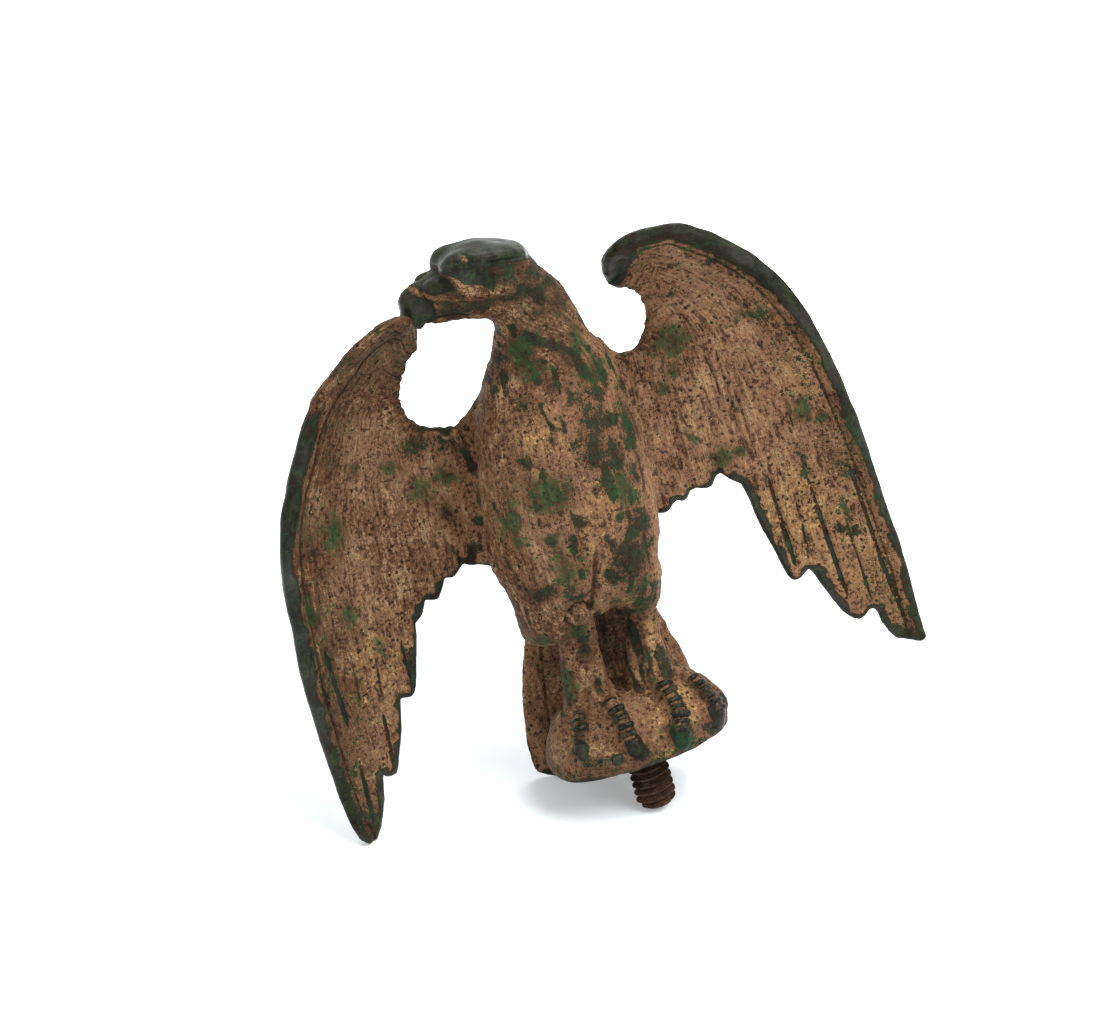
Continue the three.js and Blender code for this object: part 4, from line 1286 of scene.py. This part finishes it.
castPieces = {
    "torso": {"build": buildTorso, "step": 0.27, "kind": "torso", "slot": "cast_brass",
              "low": (-17, -14, 20), "high": (17, 13, 79)},
    "head": {"build": buildHead, "step": 0.2, "kind": "head", "slot": "dark_patina",
             "low": (-20, -9, 73.5), "high": (11, 9, 92)},
    "right_wing": {"build": buildWing(-1), "step": 0.27, "kind": -1, "slot": "cast_brass",
                   "low": (-52, -12, -1), "high": (-3, 13, 86)},
    "left_wing": {"build": buildWing(1), "step": 0.27, "kind": 1, "slot": "cast_brass",
                  "low": (3, -12, -1), "high": (53, 13, 87)},
    "right_leg": {"build": buildLeg(-1), "step": 0.2, "kind": "leg", "slot": "cast_brass",
                  "low": (-18, -12, -1), "high": (1.5, 10, 30)},
    "left_leg": {"build": buildLeg(1), "step": 0.2, "kind": "leg", "slot": "cast_brass",
                 "low": (-1.5, -12, -1), "high": (18, 10, 30)},
    "tail": {"build": buildTail, "step": 0.28, "kind": "tail", "slot": "cast_brass",
             "low": (-18, 3, -7), "high": (17, 18, 34)},
    "plinth": {"build": buildPlinth, "step": 0.24, "kind": "plinth", "slot": "cast_brass",
               "low": (-17, -11, -1), "high": (17, 14, 13)},
}


def castPiece(name, plan):
    step = plan["step"] * fineness
    grid = makeGrid(plan["low"], plan["high"], step)
    points, quads = skin(plan["build"](grid), plan["low"], step)
    normals = normalsOf(points, quads)
    painted = paint(points, normals, plan["kind"])
    height = relief(points, normals, painted)
    points = points + normals * height[:, None]
    piece = meshObject(name + ".cast", points, quads, painted)
    piece.data.materials.append(materials["agedBrass"])
    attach(piece, "root")
    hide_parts(name)
    print("cast", name, len(points), "points")
    return points


castPoints = {name: castPiece(name, plan) for name, plan in castPieces.items()}


# Geometry Nodes: the stud's thread and the scutes on the toes

def newTree(name, inputs, geometryIn):
    tree = bpy.data.node_groups.new(name, "GeometryNodeTree")
    if geometryIn:
        tree.interface.new_socket("Geometry", in_out="INPUT", socket_type="NodeSocketGeometry")
    for label in inputs:
        tree.interface.new_socket(label, in_out="INPUT", socket_type="NodeSocketFloat")
    tree.interface.new_socket("Geometry", in_out="OUTPUT", socket_type="NodeSocketGeometry")
    entry = tree.nodes.new("NodeGroupInput")
    bench = Bench(tree)
    return bench, {socket.name: Wire(bench, socket) for socket in entry.outputs if socket.name}


def closeTree(bench, geometry, material):
    whole = bench.node("GeometryNodeRealizeInstances", None, {"Geometry": geometry})
    whole = bench.node("GeometryNodeSetShadeSmooth", None, {0: whole})
    dressed = bench.node("GeometryNodeSetMaterial", None, {"Geometry": whole, "Material": material})
    bench.finish("NodeGroupOutput", dressed)
    return bench.tree


def applyTree(name, tree, values, mesh):
    carrier = addObject(name + ".carrier", mesh)
    modifier = carrier.modifiers.new("shape", "NODES")
    modifier.node_group = tree
    for item in tree.interface.items_tree:
        if item.in_out == "INPUT" and item.name in values:
            modifier[item.identifier] = float(values[item.name])
    evaluated = carrier.evaluated_get(bpy.context.evaluated_depsgraph_get())
    result = bpy.data.meshes.new_from_object(evaluated)
    result.name = name
    carrier.modifiers.remove(modifier)
    bpy.data.objects.remove(carrier)
    return addObject(name, result)


studSizes = {
    "rootRadius": 2.4,
    "threadDepth": 0.92,
    "pitch": 1.27,
    "below": 9.2,
    "inside": 7,
    "wear": 0.09,
}
studDetail = {"Size X": 1.0, "Size Y": 1.0, "Vertices X": 97, "Vertices Y": 420}


def threadTree():
    bench, given = newTree("studThread", studSizes, False)
    maths = bench.maths
    sheet = bench.node("GeometryNodeMeshGrid", None, studDetail)
    around = bench.node("ShaderNodeSeparateXYZ", None, {0: sheet.also("UV Map")})
    up = around.also(1)
    angle = around * (2 * math.pi)
    height = up * (given["below"] + given["inside"]) - given["below"]
    phase = maths("FRACT", height / given["pitch"] - around + 20)
    crest = maths("MINIMUM", (1 - maths("ABSOLUTE", phase * 2 - 1)) * 1.16, 1.0)
    cosine = maths("COSINE", angle)
    sine = maths("SINE", angle)
    ring = bench.vector(cosine * 3.2, sine * 3.2, height)
    chips = bench.noise(ring, 0.9, 3, 0.6) - 0.5
    starts, ends = (maths("MINIMUM", maths("MAXIMUM", run / given["pitch"], 0.0), 1.0)
                    for run in (height + given["below"], 0.6 - height))
    radius = given["rootRadius"] + given["threadDepth"] * crest * starts * ends + chips * given["wear"] * 2
    chamfer = maths("MINIMUM", 0.86 + (height + given["below"]) * 0.35, 1.0)
    closed = maths("GREATER_THAN", up, 0.0001) * maths("LESS_THAN", up, 0.9999)
    radius = radius * chamfer * closed
    place = bench.scaled(bench.vector(radius * cosine, radius * sine, height), mm)
    shaped = bench.node("GeometryNodeSetPosition", None, {"Geometry": sheet, "Position": place})
    shaped = bench.node("GeometryNodeMergeByDistance", None, {"Geometry": shaped, "Distance": 0.000004})
    return closeTree(bench, shaped, materials["rustyIron"])


stud = applyTree("threaded_stud.turned", threadTree(), studSizes, bpy.data.meshes.new("empty"))
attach(stud, "root")
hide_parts("threaded_stud")
print("stud", len(stud.data.vertices), "points")

scuteSizes = {
    "archRadius": 1.3,
    "thickness": 0.5,
    "sweep": 96,
    "lean": 20,
    "wobble": 0.11,
}
scuteSink = 1.42
scuteSeed = 7
# What the guides tell the scutes: the way out of the dome and the toe's girth
guideLayers = {"outward": "FLOAT_VECTOR", "girth": "FLOAT"}


def scuteTree():
    bench, given = newTree("toeScutes", scuteSizes, True)
    line = bench.node("GeometryNodeMeshToCurve", None, {"Mesh": given["Geometry"]})
    outward, girth = (bench.node("GeometryNodeInputNamedAttribute", {"data_type": kind}, {"Name": label})
                      for label, kind in guideLayers.items())
    standing = bench.node("FunctionNodeAlignRotationToVector", {"axis": "Z"}, {"Vector": outward})
    sockets = {"Rotation": standing, "Vector": bench.node("GeometryNodeInputTangent")}
    settings = {"axis": "X", "pivot_axis": "Z"}
    turned = bench.node("FunctionNodeAlignRotationToVector", settings, sockets)
    # one scute: an arch across the toe that thins towards its ends
    sweep = given["sweep"] * (math.pi / 180)
    sockets = {"Resolution": 15, "Radius": given["archRadius"] * mm, "Sweep Angle": sweep,
               "Start Angle": math.pi / 2 - sweep * 0.5}
    arch = bench.node("GeometryNodeCurveArc", {"mode": "RADIUS"}, sockets)
    along = bench.node("GeometryNodeSplineParameter")
    taper = bench.maths("SINE", along * math.pi) * 0.8 + 0.2
    arch = bench.node("GeometryNodeSetCurveRadius", None, {"Curve": arch, "Radius": taper})
    ring = bench.node("GeometryNodeCurvePrimitiveCircle", None,
                      {"Resolution": 12, "Radius": given["thickness"] * mm})
    solid = bench.node("GeometryNodeCurveToMesh", None,
                       {"Curve": arch, "Profile Curve": ring, "Fill Caps": True})
    for turn in ((math.pi / 2, 0.0, math.pi / 2), (0.0, given["lean"] * (math.pi / 180), 0.0)):
        sockets = {"Geometry": solid, "Rotation": bench.vector(*turn)}
        solid = bench.node("GeometryNodeTransform", None, sockets)
    # no two alike: each is a little larger or smaller
    limits = {"Min": 1 - given["wobble"], "Max": 1 + given["wobble"], "Seed": scuteSeed}
    uneven = bench.node("FunctionNodeRandomValue", {"data_type": "FLOAT"}, None, 1)
    for socket in uneven.socket.node.inputs:
        if socket.enabled and socket.name in limits:
            bench.feed(socket, limits[socket.name])
    sockets = {"Points": line, "Instance": solid, "Rotation": turned, "Scale": girth * uneven}
    many = bench.node("GeometryNodeInstanceOnPoints", None, sockets)
    return closeTree(bench, many, materials["darkPatina"])


def toeGuides(side):
    # centre lines that the scutes follow
    skins = np.concatenate([castPoints["plinth"], castPoints["right_leg" if side < 0 else "left_leg"]])
    places, outward, girth, edges = [], [], [], []
    for plan in toePlans[side]:
        line = toeLine(plan, 61)
        for spot, step in enumerate(np.linspace(3, 45, plan["scutes"]).astype(int)):
            place, away = line[step]
            if spot:
                edges.append((len(places) - 1, len(places)))
            rise = (skins - place) @ away
            beside = np.linalg.norm(skins - place - rise[:, None] * away, axis=1)
            place = place + (rise[(beside < 0.4) & (rise < 2)].max() - scuteSink * plan["girth"]) * away
            places.append(Vector(place) * mm)
            outward.append(away)
            girth.append(plan["girth"])
    mesh = bpy.data.meshes.new("toeGuide")
    mesh.from_pydata(places, edges, [])
    mesh.attributes.new("outward", "FLOAT_VECTOR", "POINT").data.foreach_set("vector", np.ravel(outward))
    mesh.attributes.new("girth", "FLOAT", "POINT").data.foreach_set("value", girth)
    return mesh


scutes = scuteTree()
for name, side in (("right_leg", -1), ("left_leg", 1)):
    ribs = applyTree(name + ".scutes", scutes, scuteSizes, toeGuides(side))
    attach(ribs, "root")
    print("scutes", name, len(ribs.data.vertices), "points")


# Floor, light and camera

restingGuess = [0.222, -0.315, 0.923]


def restingPlane():
    # the casting lies on its right wing tip, the stud's end and the tail
    stud = np.array([v.co for v in bpy.data.objects["threaded_stud.turned"].data.vertices]) / mm
    wing = castPoints["right_wing"]
    tail = castPoints["tail"]
    groups = [wing[wing[:, 2] < 8], stud[stud[:, 2] < -7], tail[tail[:, 2] < 2]]
    normal = np.array(restingGuess)
    for _ in range(8):
        feet = [group[np.argmin(group @ normal)] for group in groups]
        normal = np.cross(feet[1] - feet[0], feet[2] - feet[0])
        normal /= np.linalg.norm(normal) * np.sign(normal[2])
    return np.mean(feet, 0), normal


floorSizes = {
    "halfSpan": 1.5,
    "glow": 0.25,
    "farGlow": 1.2,
    "glowStart": 0.03,
    "glowEnd": 0.2,
    "tint": (0.86, 0.92, 0.96, 1),
}


def makeFloor():
    middle, normal = restingPlane()
    across = np.cross([0, 1, 0], normal)
    across /= np.linalg.norm(across)
    deep = np.cross(normal, across)
    span = floorSizes["halfSpan"]
    corners = [Vector(middle * mm + span * (a * across + b * deep))
               for a, b in ((-1, -1), (1, -1), (1, 1), (-1, 1))]
    mesh = bpy.data.meshes.new("floor")
    mesh.from_pydata(corners, [], [(0, 1, 2, 3)])
    floor = addObject("floor", mesh)
    material = bpy.data.materials.new("paleFloor")
    bench = emptied(material)
    matt = bench.node("ShaderNodeBsdfDiffuse", None, {"Color": floorSizes["tint"]})
    place = bench.node("ShaderNodeTexCoord", None, None, "Object")
    far = bench.node("ShaderNodeVectorMath", {"operation": "LENGTH"}, {0: place}, 1)
    spread = bench.ease(far, floorSizes["glowStart"], floorSizes["glowEnd"])
    strength = floorSizes["glow"] + spread * floorSizes["farGlow"]
    glow = bench.node("ShaderNodeEmission", None, {"Color": (1, 1, 1, 1), "Strength": strength})
    both = bench.node("ShaderNodeAddShader", None, {0: matt, 1: glow})
    rays = bench.node("ShaderNodeLightPath")
    seen = bench.larger(rays, rays.also("Is Glossy Ray"))
    lit = bench.node("ShaderNodeMixShader", None, {0: seen, 1: matt, 2: both})
    side = bench.node("ShaderNodeNewGeometry", None, None, "Backfacing")
    clear = bench.node("ShaderNodeBsdfTransparent")
    shown = bench.node("ShaderNodeMixShader", None, {0: side, 1: lit, 2: clear})
    bench.finish("ShaderNodeOutputMaterial", shown)
    mesh.materials.append(material)
    print("floor normal", np.round(normal, 3))


makeFloor()

cameraView = {
    "azimuth": -11,
    "elevation": 18,
    "roll": -16,
    "distance": 0.9,
    "across": -0.0151,
    "up": 0.0392,
    "frameWidth": 0.17688,
    "sensor": 36,
}


def makeCamera():
    turn, lift, roll = (math.radians(cameraView[name]) for name in ("azimuth", "elevation", "roll"))
    back = Vector((math.sin(turn) * math.cos(lift), -math.cos(turn) * math.cos(lift), math.sin(lift)))
    right = Vector((math.cos(turn), math.sin(turn), 0))
    above = back.cross(right)
    across = math.cos(roll) * right + math.sin(roll) * above
    up = math.cos(roll) * above - math.sin(roll) * right
    place = cameraView["distance"] * back + cameraView["across"] * across + cameraView["up"] * up
    data = bpy.data.cameras.new("camera")
    data.sensor_width = cameraView["sensor"]
    data.lens = cameraView["sensor"] * cameraView["distance"] / cameraView["frameWidth"]
    data.clip_end = 20
    camera = addObject("camera", data)
    camera.matrix_world = Matrix([*zip(across, up, back, place), (0, 0, 0, 1)])
    bpy.context.scene.camera = camera
    return across, up, back


viewAcross, viewUp, viewBack = makeCamera()

lampPlans = {
    "key": {"towards": (0.55, 0.75, 0.65), "distance": 0.9, "size": 0.8, "power": 10.2},
    "left": {"towards": (-0.8, 0.25, 0.6), "distance": 0.9, "size": 0.6, "power": 1.8},
    "above": {"towards": (0.05, 1.0, -0.25), "distance": 0.8, "size": 0.4, "power": 2.6},
}
lampAim = Vector((0, 0, 0.045))


def makeLamp(name, plan):
    a, b, c = plan["towards"]
    way = (a * viewAcross + b * viewUp + c * viewBack).normalized()
    data = bpy.data.lights.new(name, "AREA")
    data.shape = "DISK"
    data.size = plan["size"]
    data.energy = plan["power"]
    lamp = addObject(name, data)
    lamp.location = lampAim + plan["distance"] * way
    lamp.rotation_euler = way.to_track_quat("Z", "Y").to_euler()


for name, plan in lampPlans.items():
    makeLamp(name, plan)

ambient = 0.45


def makeWorld():
    world = bpy.data.worlds.new("studio")
    bpy.context.scene.world = world
    bench = emptied(world)
    rays = bench.node("ShaderNodeLightPath")
    shown = rays
    for name in ("Is Glossy Ray", "Is Transmission Ray"):
        shown = bench.larger(shown, rays.also(name))
    strength = ambient + (1 - ambient) * shown
    back = bench.node("ShaderNodeBackground", None, {"Color": (1, 1, 1, 1), "Strength": strength})
    bench.finish("ShaderNodeOutputWorld", back)


makeWorld()
bpy.context.scene.view_settings.view_transform = "Standard"
print("stage made")
